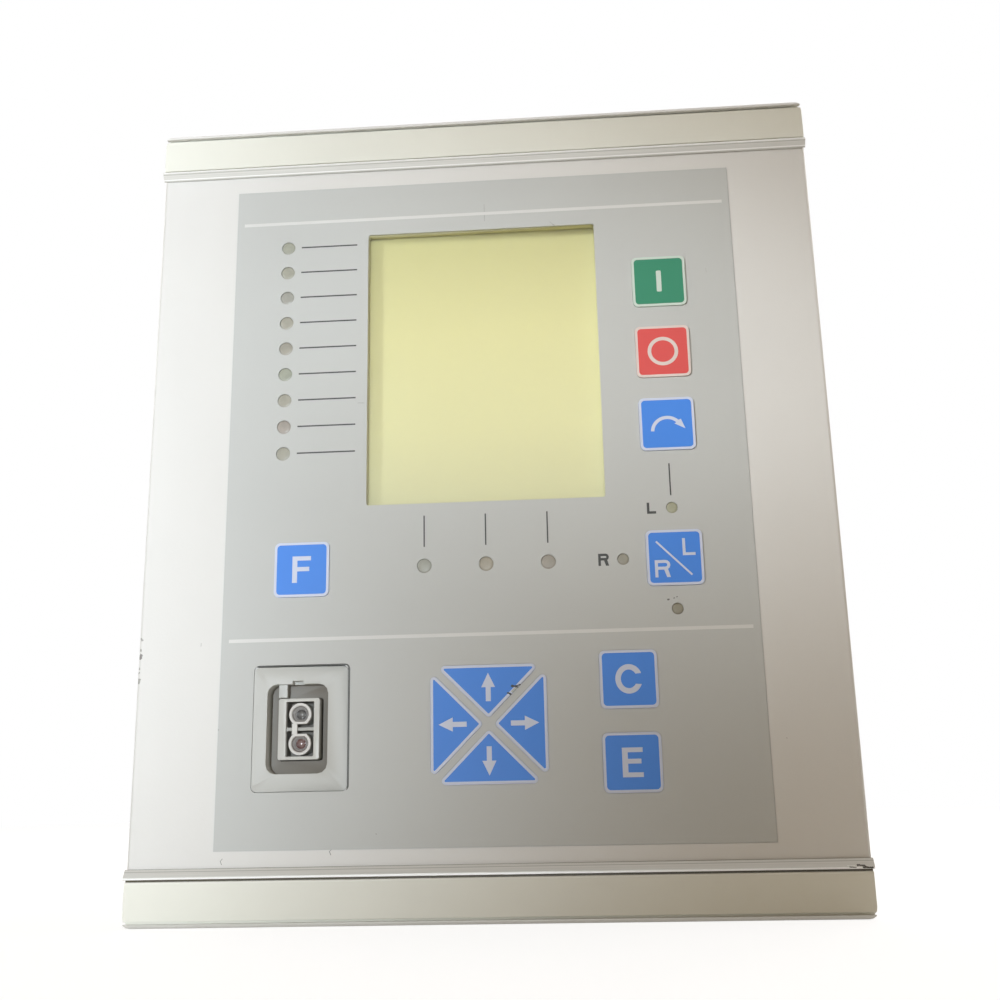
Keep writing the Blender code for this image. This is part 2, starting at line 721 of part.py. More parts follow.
def build_keypad_board(green):
    board = drawn("keypad_board", [board_box()], "Y", y_at(BOARD_FRONT), y_at(BOARD_BACK),
                  green)
    places = [(x, z) for _, x, z, _ in square_keys()] + [(x, z) for _, _, x, z in arrow_keys()]
    join(board, stepped("switches", circle(0, 0, SWITCH_R, 8), SWITCH_R,
                        [(BOARD_FRONT - SWITCH_H, SWITCH_R * 0.7),
                         (BOARD_FRONT - SWITCH_H / 2, SWITCH_R),
                         (BOARD_FRONT + BOARD_T / 2, SWITCH_R)], places, None, CUTTERS))

    # Riveted spacers hold it off the front plate's back.
    (left, low), _, (right, high), _ = board_box()
    places = [(x, z) for x in (left + SPACER_IN, right - SPACER_IN)
              for z in (low + SPACER_IN, high - SPACER_IN)]
    join(board, stepped("board_spacers", circle(0, 0, SPACER_R, 8), SPACER_R,
                        [(PLATE_BACK + GAP, SPACER_R), (BOARD_FRONT + BOARD_T / 2, SPACER_R)],
                        places, None, CUTTERS))


# Keys: a pad in the film, a flange under it and a plunger over its switch.

def key_steps(half, stem):
    flange = FILM_BACK + GAP
    end = BOARD_FRONT - SWITCH_H - KEY_TRAVEL - RUN
    return [(KEY_FRONT, half - KEY_EDGE), (KEY_FRONT + KEY_EDGE, half), (flange, half),
            (flange, half + KEY_FLANGE), (flange + KEY_FLANGE_T, half + KEY_FLANGE),
            (flange + KEY_FLANGE_T, stem), (end, stem)]


def build_keys(mats):
    square = rounded(0, 0, KEY, KEY, KEY_R)
    for name, x, z, colour in square_keys():
        stepped(name, square, KEY / 2, key_steps(KEY / 2, KEY_STEM), [(x, z)], mats[colour])
    inner = nav_inner()
    for name, quarter, x, z in arrow_keys():
        stepped(name, turned(nav_outline(), quarter), inner,
                key_steps(inner, KEY_STEM / 2), [(x, z)], mats["key_blue"])


# Lamps: domed light pipes that stand in the film's round windows.

def lamp_steps(radius, end):
    tip = FILM_FRONT + RUN
    return [(tip, radius * 0.45), (tip + radius * 0.1, radius * 0.8),
            (tip + radius * 0.35, radius), (end, radius)]


def build_lamps(lens):
    holder_back = BOARD_FRONT - GAP
    bars = (("alarm_lamps", alarm_lamps()), ("status_lamps", status_lamps()))
    for name, places in bars:
        half = LAMP_BAR / 2
        low_x = min(x for x, _ in places) - half
        high_x = max(x for x, _ in places) + half
        low_z = min(z for _, z in places) - half
        high_z = max(z for _, z in places) + half
        bar = box(name, (low_x, y_at(LAMP_BAR_FRONT), low_z),
                  (high_x, y_at(holder_back), high_z), lens)
        join(bar, stepped(name + "_pipes", circle(0, 0, LAMP_R, 12), LAMP_R,
                          lamp_steps(LAMP_R, LAMP_BAR_FRONT + 0.001), places, None, CUTTERS))
    for name, x, z in mode_lamps():
        steps = lamp_steps(SMALL_LAMP_R, LAMP_BAR_FRONT)
        steps += [(LAMP_BAR_FRONT, LAMP_R), (holder_back, LAMP_R)]
        stepped(name, circle(0, 0, SMALL_LAMP_R, 12), SMALL_LAMP_R, steps, [(x, z)], lens)


# The optical port: a sloping surround, a tower in its pocket and two fibre sockets.

def build_port(plastic, pale, clear, red):
    z = FACE_Z + LOWER_Z
    surround = drawn("port_surround", [port_opening(0)], "Y", y_at(FILM_FRONT),
                     y_at(PORT_SHELL), plastic)
    rim = drawn("port_rim", [port_opening(PORT_RIM_W)], "Y", y_at(PLATE_BACK + GAP),
                y_at(PLATE_BACK + GAP + PORT_RIM), None, CUTTERS)
    join(surround, rim)
    left, right = PORT_X - PORT_W, PORT_X + PORT_W
    fall = PORT_SLOPE / PORT_W
    slope = [(left, y_at(-0.01)), (right, y_at(-0.01)),
             (right, y_at(FILM_FRONT + fall * PORT_W * 1.5)),
             (left, y_at(FILM_FRONT - fall * PORT_W * 0.5))]
    cut(surround, drawn("port_slope", [slope], "Z", z - PORT_H, z + PORT_H, None, CUTTERS))
    cut(surround, drawn("port_pocket", [rounded(POCKET_X, z, POCKET_W, POCKET_H, POCKET_R)],
                        "Y", y_at(-0.001), y_at(POCKET_FLOOR), None, CUTTERS))
    notch_z = z + POCKET_H / 2
    cut(surround, box("port_notch", (POCKET_X - NOTCH_W / 2, y_at(-0.001), notch_z - NOTCH_H),
                      (POCKET_X + NOTCH_W / 2, y_at(POCKET_FLOOR - 0.003), notch_z + NOTCH_H),
                      None, CUTTERS))
    cut(surround, drawn("port_way", [rounded(POCKET_X, z, TOWER_W + 2 * GAP, TOWER_H + 2 * GAP,
                                             0.0006, 2)],
                        "Y", y_at(POCKET_FLOOR - 0.001), y_at(PORT_SHELL + 0.001),
                        None, CUTTERS))
    # A block on the pocket's floor, between its upper wall and the tower's left corner.
    block_x = POCKET_X - TOWER_W / 2
    join(surround, box("corner_block", (block_x, y_at(TOWER_FRONT), z + TOWER_H / 2 + GAP),
                       (block_x + CORNER_BLOCK, y_at((POCKET_FLOOR + PORT_SHELL) / 2),
                        notch_z + NOTCH_H), None, CUTTERS))

    back = BOARD_FRONT - GAP
    housing = drawn("port_housing", [rounded(POCKET_X, z, TOWER_W, TOWER_H, 0.0006, 2)], "Y",
                    y_at(TOWER_FRONT), y_at(back), pale)
    join(housing, drawn("port_foot", [rounded(POCKET_X, z, TOWER_W + 2 * TOWER_FOOT,
                                              TOWER_H + 2 * TOWER_FOOT, 0.001, 2)],
                        "Y", y_at(back - TOWER_FOOT_T), y_at(back), None, CUTTERS))
    well_x = POCKET_X + WELL_SHIFT
    wells = [rounded(well_x, z + side * FIBRE_PITCH / 2, WELL_W, WELL_H, 0.0003, 1)
             for side in (1, -1)]
    cut(housing, drawn("port_wells", wells, "Y", y_at(TOWER_FRONT - 0.001),
                       y_at(WELL_FLOOR), None, CUTTERS))
    cut(housing, box("port_bridge", (well_x - WELL_W / 2, y_at(TOWER_FRONT - 0.001),
                                     z - FIBRE_PITCH / 2),
                     (well_x + WELL_W / 2, y_at(TOWER_FRONT + BRIDGE_DROP),
                      z + FIBRE_PITCH / 2), None, CUTTERS))

    # Each socket is a cup with a flat towards the other one, and a tab joins them in front.
    front = TOWER_FRONT + GAP
    end = math.degrees(math.acos(FIBRE_FLAT / FIBRE_R))
    flat_side = arc(0, 0, FIBRE_R, -90 + end, 270 - end, 14)
    steps = [(front + 0.0045, FIBRE_BORE), (front + 0.0014, FIBRE_BORE),
             (front + 0.0012, FIBRE_CUP), (front, FIBRE_CUP + 0.0002), (front, FIBRE_R),
             (WELL_FLOOR - GAP, FIBRE_R)]
    sockets = {}
    for name, side, mat in (("port_receiver", 1, clear), ("port_transmitter", -1, red)):
        outline = flat_side if side > 0 else turned(flat_side, 2)
        sockets[name] = stepped(name, outline, FIBRE_R, steps,
                                [(well_x, z + side * FIBRE_PITCH / 2)], mat)
    gap_half = FIBRE_PITCH / 2 - FIBRE_FLAT
    join(sockets["port_receiver"],
         box("socket_tab", (well_x - TAB_X - TAB_W / 2, y_at(front), z - gap_half + GAP),
             (well_x - TAB_X + TAB_W / 2, y_at(front + TAB_T), z + gap_half + GAP),
             None, CUTTERS))


# The case: a folded body with its flanges, and a cover that closes the top.

def build_case(sheet_metal):
    half = CASE_W / 2
    inner = half - SHEET
    wall_top = CASE_TOP - SHEET - GAP
    outer_arc = arc(half - BEND_R, CASE_LOW + BEND_R, BEND_R, -90, 0, 3)
    inner_arc = arc(half - BEND_R, CASE_LOW + BEND_R, BEND_R - SHEET, 0, -90, 3)
    right = outer_arc + [(half, wall_top), (inner, wall_top)] + inner_arc
    left = [(-u, v) for u, v in reversed(right)]
    # The walls start behind the flanges' faces, which leaves the fold's edge rounded off.
    wall_front = y_at(CASE_FRONT + SHEET / 2)
    body = drawn("case_body", [right + left], "Y", wall_front, y_at(CASE_BACK), sheet_metal)

    lip_top = wall_top - FLANGE - GAP
    opening = inner - FLANGE
    front_lip = [(-inner - SHEET / 2, CASE_LOW + SHEET / 2), (inner + SHEET / 2, CASE_LOW + SHEET / 2),
                 (inner + SHEET / 2, lip_top), (opening, lip_top),
                 (opening, CASE_LOW + SHEET + FLANGE), (-opening, CASE_LOW + SHEET + FLANGE),
                 (-opening, lip_top), (-inner - SHEET / 2, lip_top)]
    join(body, drawn("body_front_flange", [front_lip], "Y", y_at(CASE_FRONT),
                     y_at(CASE_FRONT + SHEET), None, CUTTERS))
    join(body, box("body_rear_flange",
                   (-inner - SHEET / 2, y_at(FLANGE_BACK - SHEET), CASE_LOW + SHEET / 2),
                   (inner + SHEET / 2, y_at(FLANGE_BACK), CASE_LOW + SHEET + FLANGE),
                   None, CUTTERS))
    x, z = earth_place()
    cut(body, stepped("earth_hole_in_case", circle(0, 0, 1, 12), 1,
                      [(FLANGE_BACK - 2 * SHEET, EARTH_R + GAP),
                       (FLANGE_BACK + SHEET, EARTH_R + GAP)], [(x, z)], None, CUTTERS))

    # The cover's sides and ends are turned down inside the body's walls.
    lip = inner - GAP
    cover = box("case_cover", (-half, wall_front, CASE_TOP - SHEET),
                (half, y_at(CASE_BACK), CASE_TOP), sheet_metal)
    for side in (-1, 1):
        near, far = sorted((side * lip, side * (lip - SHEET)))
        join(cover, box("cover_side", (near, y_at(CASE_FRONT + SHEET), CASE_TOP - COVER_LIP),
                        (far, y_at(FLANGE_BACK - SHEET / 2), CASE_TOP - SHEET / 2),
                        None, CUTTERS))
    for name, depth in (("cover_front_flange", CASE_FRONT),
                        ("cover_rear_flange", FLANGE_BACK - SHEET)):
        join(cover, box(name, (SHEET / 2 - lip, y_at(depth), wall_top - FLANGE),
                        (lip - SHEET / 2, y_at(depth + SHEET), CASE_TOP - SHEET / 2),
                        None, CUTTERS))


# Slots, counted from the measuring inputs' side.

def slots():
    """Name, low X and high X of each slot; the last one takes what is left."""
    widths = [("input", TRANSFORMER_SLOT), ("cpu", CPU_SLOT), ("power", POWER_SLOT),
              ("io", IO_SLOT)]
    places = {}
    high = INNER_HALF
    for name, width in widths:
        places[name] = (high - width + GAP / 2, high - GAP / 2)
        high -= width
    places["spare"] = (-INNER_HALF + GAP / 2, high - GAP / 2)
    return places


def earth_place():
    low, high = slots()["input"]
    return (low + high) / 2, CASE_LOW + SHEET + EARTH_UP


def column(count, height):
    """Centres of equal parts that fill a card's height, from the bottom up."""
    span = CARD_TOP - CARD_LOW - 2 * CARD_MARGIN - height
    return [MID_Z + (i / (count - 1) - 0.5) * span for i in range(count)]


def slot_plate(name, slot, metal, openings):
    low, high = slots()[slot]
    outline = rectangle(low, CASE_LOW + SHEET + GAP, high, CASE_TOP - SHEET - GAP)
    return drawn(name, [outline] + openings, "Y", y_at(SLOT_FRONT), y_at(CASE_BACK), metal)


def card_x(slot):
    low, _ = slots()[slot]
    return low + CARD_IN


def card(name, slot, green, *fittings):
    """A plug-in board with the connector that meets the bus board."""
    x = card_x(slot)
    board = box(name, (x, y_at(CARD_FRONT), CARD_LOW),
                (x + CARD_T, y_at(FLANGE_BACK - SHEET - GAP), CARD_TOP), green)
    mate = box(name + "_mate", (x + CARD_T / 2, y_at(BUS_BACK + GAP), MID_Z - MATE_H / 2),
               (x + CARD_T + MATE_W, y_at(BUS_BACK + GAP + MATE_L), MID_Z + MATE_H / 2),
               None, CUTTERS)
    return join(board, merged(name + "_fittings", [mate, *fittings]))


def build_bus_board(green):
    half = INNER_HALF - BUS_MARGIN
    low, high = CARD_LOW + BUS_MARGIN, CARD_TOP - BUS_MARGIN
    board = drawn("bus_board", [rectangle(-half, low, half, high)], "Y", y_at(BUS_FRONT),
                  y_at(BUS_BACK), green)
    # Spacers near its edges reach forward to the flanges of the case and the cover, so they
    # stand halfway between the board's edge and the flanges' inner one.
    x = (half + CASE_W / 2 - SHEET - FLANGE) / 2
    places = [(sx * x, z) for sx in (-1, 1) for z in (low + SPACER_IN, high - SPACER_IN)]
    join(board, stepped("bus_spacers", circle(0, 0, SPACER_R, 8), SPACER_R,
                        [(CASE_FRONT + SHEET + GAP, SPACER_R),
                         (BUS_FRONT + BOARD_T / 2, SPACER_R)], places, None, CUTTERS))


def build_card_guides(plastic):
    """A moulded sheet at the bottom and one at the top, with a pair of ribs for each card."""
    reach = GUIDE_T + GUIDE_RIB
    # The upper one lies between the cover's turned-down sides.
    sides = (("lower_card_guide", GUIDE_LOW, 1, INNER_HALF),
             ("upper_card_guide", GUIDE_TOP, -1, INNER_HALF - SHEET - GAP))
    for name, base, up, half in sides:
        guide = [(-half, base), (half, base)]
        # The section runs back over the ribs, from right to left.
        guide.append((half, base + up * GUIDE_T))
        for slot in ("input", "cpu", "power", "io"):
            x = card_x(slot)
            for near, far in ((x + CARD_T + GAP + GUIDE_RIB_T, x + CARD_T + GAP),
                              (x - GAP, x - GAP - GUIDE_RIB_T)):
                guide += [(near, base + up * GUIDE_T), (near, base + up * reach),
                          (far, base + up * reach), (far, base + up * GUIDE_T)]
        guide.append((-half, base + up * GUIDE_T))
        drawn(name, [guide], "Y", y_at(GUIDE_FRONT), y_at(GUIDE_BACK), plastic)


# Measuring inputs: a ring-lug terminal block and the transformers on its card.

def build_input_module(green, metal, plastic, iron):
    low, high = slots()["input"]
    x = (low + high) / 2
    height = LUG_ROWS * LUG_PITCH + 2 * PLUG_END
    block_front = DEPTH - LUG_BLOCK_L
    slot_plate("input_slot_plate", "input", metal,
               [rectangle(x - LUG_BLOCK_W / 2 - GAP, MID_Z - height / 2 - GAP,
                          x + LUG_BLOCK_W / 2 + GAP, MID_Z + height / 2 + GAP),
                circle(*earth_place(), EARTH_R + GAP, 12)])
    block = box("input_terminal_block",
                (x - LUG_BLOCK_W / 2, y_at(block_front), MID_Z - height / 2),
                (x + LUG_BLOCK_W / 2, y_at(DEPTH), MID_Z + height / 2), plastic)
    cells = [rectangle(x + side * LUG_COLUMN / 2 - LUG_W / 2, z - LUG_H / 2,
                       x + side * LUG_COLUMN / 2 + LUG_W / 2, z + LUG_H / 2)
             for side in (-1, 1)
             for z in (MID_Z + (i - (LUG_ROWS - 1) / 2) * LUG_PITCH for i in range(LUG_ROWS))]
    cut(block, drawn("lug_cells", cells, "Y", y_at(DEPTH - LUG_DEEP), y_at(DEPTH + 0.001),
                     None, CUTTERS))

    board_x = card_x("input")
    # A rail on the card carries the block from behind.
    carrier = box("carrier", (board_x + CARD_T / 2, y_at(block_front - GAP - 0.010),
                              MID_Z - height / 2),
                  (x + LUG_BLOCK_W / 2, y_at(block_front - GAP), MID_Z + height / 2),
                  None, CUTTERS)
    card("input_card", "input", green, carrier)

    depth = (CARD_FRONT + block_front) / 2
    for i, z in enumerate(column(INPUTS, CORE_H)):
        transformer(f"input_transformer_{i + 1}", board_x + CARD_T + GAP, depth, z, iron)


def transformer(name, x, depth, z, mat):
    """Core and winding, lying against a card with the core's legs along Z."""
    y = y_at(depth)
    rise = x + WINDING + CORE_T / 2
    # A window on each side of the middle leg, which is as wide as an outer one.
    inner_y, outer_y = CORE_LIMB / 2, CORE_W / 2 - CORE_LIMB
    windows = [rectangle(y + min(side * inner_y, side * outer_y), z - CORE_H / 2 + CORE_LIMB,
                         y + max(side * inner_y, side * outer_y), z + CORE_H / 2 - CORE_LIMB)
               for side in (-1, 1)]
    core = drawn(name, [rectangle(y - CORE_W / 2, z - CORE_H / 2, y + CORE_W / 2, z + CORE_H / 2)]
                 + windows, "X", rise - CORE_T / 2, rise + CORE_T / 2, mat)
    coil_y = CORE_W / 2 - CORE_LIMB - GAP
    coil_z = CORE_H / 2 - CORE_LIMB - GAP
    join(core, box(name + "_winding", (x, y - coil_y, z - coil_z),
                   (rise + CORE_T / 2 + WINDING, y + coil_y, z + coil_z), None, CUTTERS))
    return core


# Pluggable terminal blocks: screws in the raised half, wires in the stepped one.

def plug_centres():
    return MID_Z + PLUG_RISE, MID_Z - PLUG_RISE


def plug_opening(x, z, room):
    return rectangle(x - PLUG_W / 2 - room, z - PLUG_H / 2 - room,
                     x + PLUG_W / 2 + room, z + PLUG_H / 2 + room)


def terminal_plug(name, x, z, plastic):
    front, back, step = y_at(PLUG_FRONT), y_at(DEPTH), y_at(DEPTH - PLUG_STEP)
    left, right = x - PLUG_W / 2, x + PLUG_W / 2
    section = [(left, front), (right, front), (right, step), (x + PLUG_STEP / 8, step),
               (x, back), (left, back)]
    plug = drawn(name, [section], "Z", z - PLUG_H / 2, z + PLUG_H / 2, plastic)
    poles = [z + (i - (POLES - 1) / 2) * POLE_PITCH for i in range(POLES)]
    screw_x = (left + x) / 2
    wire_x = (x + PLUG_STEP / 8 + right) / 2
    screws = drawn(name + "_screw_wells", [circle(screw_x, p, SCREW_WELL_R, 8) for p in poles],
                   "Y", y_at(DEPTH - SCREW_WELL), y_at(DEPTH + 0.001), None, CUTTERS)
    wires = drawn(name + "_wire_wells",
                  [rectangle(wire_x - WIRE_W / 2, p - WIRE_H / 2, wire_x + WIRE_W / 2,
                             p + WIRE_H / 2) for p in poles],
                  "Y", y_at(DEPTH - PLUG_STEP - WIRE_WELL), y_at(DEPTH - PLUG_STEP + 0.001),
                  None, CUTTERS)
    return cut(plug, screws, wires)


def headers(slot, x):
    """The card's half of each plug connection."""
    board_x = card_x(slot) + CARD_T / 2
    return [box("header", (board_x, y_at(PLUG_FRONT - GAP - HEADER_L), z - PLUG_H / 2),
                (x + PLUG_W / 2, y_at(PLUG_FRONT - GAP), z + PLUG_H / 2), None, CUTTERS)
            for z in plug_centres()]


def plugged_module(slot, metal, plastic):
    """Slot plate with its two plugs; gives back the X where they stand."""
    low, high = slots()[slot]
    x = (low + high) / 2 + CARD_IN / 4
    slot_plate(slot + "_slot_plate", slot, metal,
               [plug_opening(x, z, GAP) for z in plug_centres()])
    for side, z in zip(("upper", "lower"), plug_centres()):
        terminal_plug(f"{slot}_plug_{side}", x, z, plastic)
    return x


def build_power_module(green, metal, plastic, iron, sleeve):
    x = plugged_module("power", metal, plastic)
    card("power_card", "power", green, *headers("power", x))
    board_x = card_x("power") + CARD_T + GAP
    middle = (CARD_FRONT + PLUG_FRONT) / 2
    transformer("power_transformer", board_x, middle, MID_Z + CORE_H, iron)
    drawn("filter_capacitor", [circle(y_at(middle), MID_Z - CORE_H, CAPACITOR_R, 16)], "X",
          board_x, board_x + CAPACITOR_L, sleeve)


def build_io_module(green, metal, plastic):
    x = plugged_module("io", metal, plastic)
    board_x = card_x("io") + CARD_T / 2
    depth = PLUG_FRONT - HEADER_L - 3 * RELAY_L
    relays = [box("relay", (board_x, y_at(depth), z - RELAY_H / 2),
                  (board_x + RELAY_W, y_at(depth + RELAY_L), z + RELAY_H / 2), None, CUTTERS)
              for z in column(RELAYS, RELAY_H)]
    card("io_card", "io", green, *headers("io", x), *relays)


# The processor's module, with two D-shaped serial sockets.

def socket_outline(x, z, room=0.0):
    """A D: the side towards the card's edge is the shorter one."""
    half_w, half_h = SOCKET_W / 2 - 0.002 + room, SOCKET_H / 2 - 0.006 + room
    return [(x - half_w, z - half_h), (x + half_w, z - half_h + 0.0015),
            (x + half_w, z + half_h - 0.0015), (x - half_w, z + half_h)]


def build_cpu_module(green, metal, steel):
    low, high = slots()["cpu"]
    x = (low + high) / 2 + CARD_IN / 4
    centres = [MID_Z + side * SOCKET_STEP for side in (1, -1)]
    slot_plate("cpu_slot_plate", "cpu", metal,
               [socket_outline(x, z, GAP) for z in centres])
    fittings = []
    for name, z in zip(("service_socket", "bus_socket"), centres):
        socket = drawn(name, [rounded(x, z, SOCKET_W, SOCKET_H, 0.0015)], "Y",
                       y_at(SLOT_FRONT - GAP - SOCKET_T), y_at(SLOT_FRONT - GAP), steel)
        join(socket, drawn(name + "_nose", [socket_outline(x, z)], "Y",
                           y_at(SLOT_FRONT - GAP - SOCKET_T - SOCKET_BODY),
                           y_at(CASE_BACK + SOCKET_NOSE), None, CUTTERS))
        back = SLOT_FRONT - 2 * GAP - SOCKET_T - SOCKET_BODY
        fittings.append(box("seat", (card_x("cpu") + CARD_T / 2, y_at(back - 0.004),
                                     z - SOCKET_H / 2),
                            (x + SOCKET_W / 2, y_at(back), z + SOCKET_H / 2), None, CUTTERS))
    card("cpu_card", "cpu", green, *fittings)


def build_spare_slot(metal):
    slot_plate("spare_slot_plate", "spare", metal, [])


def build_earth_screw(steel):
    """It holds the input slot's plate to the case's rear flange and takes the earth lead."""
    x, z = earth_place()
    head = EARTH_HEAD / EARTH_R
    stepped("earth_screw", circle(0, 0, 1, 6), 1,
            [(FLANGE_BACK - 3 * SHEET, EARTH_R * 0.8), (FLANGE_BACK - 2 * SHEET, EARTH_R),
             (CASE_BACK + GAP, EARTH_R), (CASE_BACK + GAP, EARTH_R * head),
             (CASE_BACK + GAP + EARTH_HEAD_T, EARTH_R * head)], [(x, z)], steel)


def main():
    clear_scene()
    paint = material("grey_paint", (0.80, 0.79, 0.77), 0.42)
    rail_metal = material("silver_anodised", (0.62, 0.60, 0.57), 0.38, 0.6)
    label = material("beige_label", (0.78, 0.77, 0.68), 0.5)
    film = material("overlay_grey", (0.52, 0.53, 0.51), 0.45)
    mats = {"key_green": material("key_green", (0.05, 0.26, 0.15), 0.4),
            "key_red": material("key_red", (0.68, 0.08, 0.09), 0.4),
            "key_blue": material("key_blue", (0.09, 0.27, 0.76), 0.4)}
    clear = material("clear_plastic", (0.85, 0.87, 0.80), 0.1, 0.0, 0.4)
    glass = material("display_yellow", (0.75, 0.70, 0.32), 0.25)
    pale = material("pale_plastic", (0.70, 0.70, 0.67), 0.45)
    white = material("white_plastic", (0.85, 0.85, 0.83), 0.5)
    lens = material("lamp_lens", (0.45, 0.44, 0.38), 0.2)
    black = material("black_plastic", (0.03, 0.03, 0.032), 0.45)
    green = material("circuit_board", (0.03, 0.14, 0.07), 0.5)
    zinc = material("zinc_sheet", (0.60, 0.61, 0.60), 0.4, 0.9)
    steel = material("bright_steel", (0.65, 0.65, 0.64), 0.3, 1.0)
    iron = material("laminated_iron", (0.16, 0.15, 0.14), 0.6, 0.5)
    red = material("red_lens", (0.35, 0.10, 0.08), 0.2)
    sleeve = material("capacitor_sleeve", (0.04, 0.05, 0.12), 0.4)

    build_rails(rail_metal, label)
    build_front_plate(paint)
    build_film(film)
    build_display(clear, glass, black, white)
    build_keypad_board(green)
    build_keys(mats)
    build_lamps(lens)
    build_port(pale, white, clear, red)
    build_case(zinc)
    build_bus_board(green)
    build_card_guides(black)
    build_input_module(green, zinc, black, iron)
    build_cpu_module(green, zinc, steel)
    build_power_module(green, zinc, black, iron, sleeve)
    build_io_module(green, zinc, black)
    build_spare_slot(zinc)
    build_earth_screw(steel)


main()
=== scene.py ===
import math

import bmesh
import bpy
from mathutils import Matrix, Quaternion, Vector


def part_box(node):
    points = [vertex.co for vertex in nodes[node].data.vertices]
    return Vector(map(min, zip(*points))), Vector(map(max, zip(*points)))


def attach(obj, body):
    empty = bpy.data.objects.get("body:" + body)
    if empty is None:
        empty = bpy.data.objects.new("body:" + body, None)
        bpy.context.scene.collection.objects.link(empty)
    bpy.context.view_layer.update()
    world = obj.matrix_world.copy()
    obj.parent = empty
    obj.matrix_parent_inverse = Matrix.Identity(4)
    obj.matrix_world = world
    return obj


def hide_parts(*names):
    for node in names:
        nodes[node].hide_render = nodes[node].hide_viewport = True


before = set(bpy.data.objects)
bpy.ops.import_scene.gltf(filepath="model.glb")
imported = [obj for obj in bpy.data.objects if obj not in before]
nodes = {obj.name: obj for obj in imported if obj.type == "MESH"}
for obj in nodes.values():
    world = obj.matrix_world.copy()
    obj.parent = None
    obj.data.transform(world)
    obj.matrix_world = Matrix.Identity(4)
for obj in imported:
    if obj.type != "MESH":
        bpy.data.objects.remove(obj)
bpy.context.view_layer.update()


# camera
# It stands close to the relay, a little to the right of its middle and low, and looks up at
# the face.

AIM = Vector((-0.06311, 0.96729, 0.24568))
ROLL = math.radians(-1.181)


def linked(name, data):
    """A new object in the scene, at the origin."""
    made = bpy.data.objects.new(name, data)
    bpy.context.scene.collection.objects.link(made)
    return made


camera_data = bpy.data.cameras.new("camera")
camera_data.sensor_width = 36.0
camera_data.lens = 41.18
camera_data.clip_start = 0.01
camera = linked("camera", camera_data)
camera.location = (0.0281, -0.4721, 0.0382)
camera.rotation_mode = "QUATERNION"
camera.rotation_quaternion = AIM.to_track_quat("-Z", "Y") @ Quaternion((0, 0, 1), ROLL)
bpy.context.scene.camera = camera
bpy.context.scene.view_settings.view_transform = "Standard"


# studio
# A pale floor in a white surround.  Two soft spotlights light the front, brightest at the left
# and at the top, and three softer lamps stand at the sides and behind.

def put(tree, kind, inputs=None, **settings):
    """Add a shader node; its inputs are numbers, colours, or what they are linked from: a
    socket, or a node whose first output is meant."""
    made = tree.nodes.new("ShaderNode" + kind)
    for key, value in settings.items():
        setattr(made, key, value)
    for key, value in (inputs or {}).items():
        if isinstance(value, bpy.types.Node):
            value = value.outputs[0]
        if isinstance(value, bpy.types.NodeSocket):
            tree.links.new(value, made.inputs[key])
        else:
            made.inputs[key].default_value = value
    return made


def calc(tree, operation, *values, clamp=False):
    """The result of a sum on numbers or sockets."""
    return put(tree, "Math", dict(enumerate(values)), operation=operation,
               use_clamp=clamp).outputs[0]


def vector(tree, operation, *values):
    """The result of a sum on vectors; a scale's second value is its number."""
    sockets = (0, "Scale") if operation == "SCALE" else (0, 1)
    made = put(tree, "VectorMath", dict(zip(sockets, values)), operation=operation)
    return made.outputs["Value" if operation in ("LENGTH", "DOT_PRODUCT") else "Vector"]


def ranged(tree, value, low, high, to_low=0.0, to_high=1.0, **settings):
    return put(tree, "MapRange", {"Value": value, "From Min": low, "From Max": high,
                                  "To Min": to_low, "To Max": to_high}, **settings).outputs[0]


def sees_backdrop(tree):
    """One where a camera, mirror or see-through ray arrives, else nought."""
    path = put(tree, "LightPath").outputs
    either = calc(tree, "MAXIMUM", path["Is Camera Ray"], path["Is Glossy Ray"])
    return calc(tree, "MAXIMUM", either, path["Is Transmission Ray"])


def mesh_of(bm, name, mesh=None):
    """Write a bmesh to a mesh, a new one if none is given, and let it go."""
    if mesh is None:
        mesh = bpy.data.meshes.new(name)
    mesh.name = name
    bm.to_mesh(mesh)
    bm.free()
    return mesh


world = bpy.data.worlds.new("studio")
bpy.context.scene.world = world
world.use_nodes = True
tree = world.node_tree
tree.nodes.clear()
ambient = put(tree, "Background", {"Color": (1.0, 0.788, 0.545, 1), "Strength": 0.277})
white = put(tree, "Background", {"Color": (1, 1, 1, 1), "Strength": 1.0})
choice = put(tree, "MixShader", {0: sees_backdrop(tree), 1: ambient, 2: white})
put(tree, "OutputWorld", {"Surface": choice})

bm = bmesh.new()
bmesh.ops.create_grid(bm, x_segments=1, y_segments=1, size=4.0)
floor = linked("floor", mesh_of(bm, "floor"))
floor_finish = bpy.data.materials.new("pale_floor")
floor_finish.use_nodes = True
tree = floor_finish.node_tree
tree.nodes.clear()
matt = put(tree, "BsdfDiffuse", {"Color": (0.80, 0.80, 0.79, 1)})
# To the camera the floor is nearly white with the relay's shadow on it, and further out it
# runs into the white surround.
shaded = put(tree, "BsdfDiffuse", {"Color": (0.34, 0.34, 0.34, 1)})
glow = put(tree, "Emission", {"Color": (1, 1, 1, 1), "Strength": 0.83})
near = put(tree, "AddShader", {0: shaded, 1: glow})
plain = put(tree, "Emission", {"Color": (1, 1, 1, 1), "Strength": 1.0})
far = ranged(tree, vector(tree, "LENGTH", put(tree, "TexCoord").outputs["Object"]), 0.3, 1.6)
seen = put(tree, "MixShader", {0: far, 1: near, 2: plain})
choice = put(tree, "MixShader", {0: sees_backdrop(tree), 1: matt, 2: seen})
put(tree, "OutputMaterial", {"Surface": choice})
floor.data.materials.append(floor_finish)

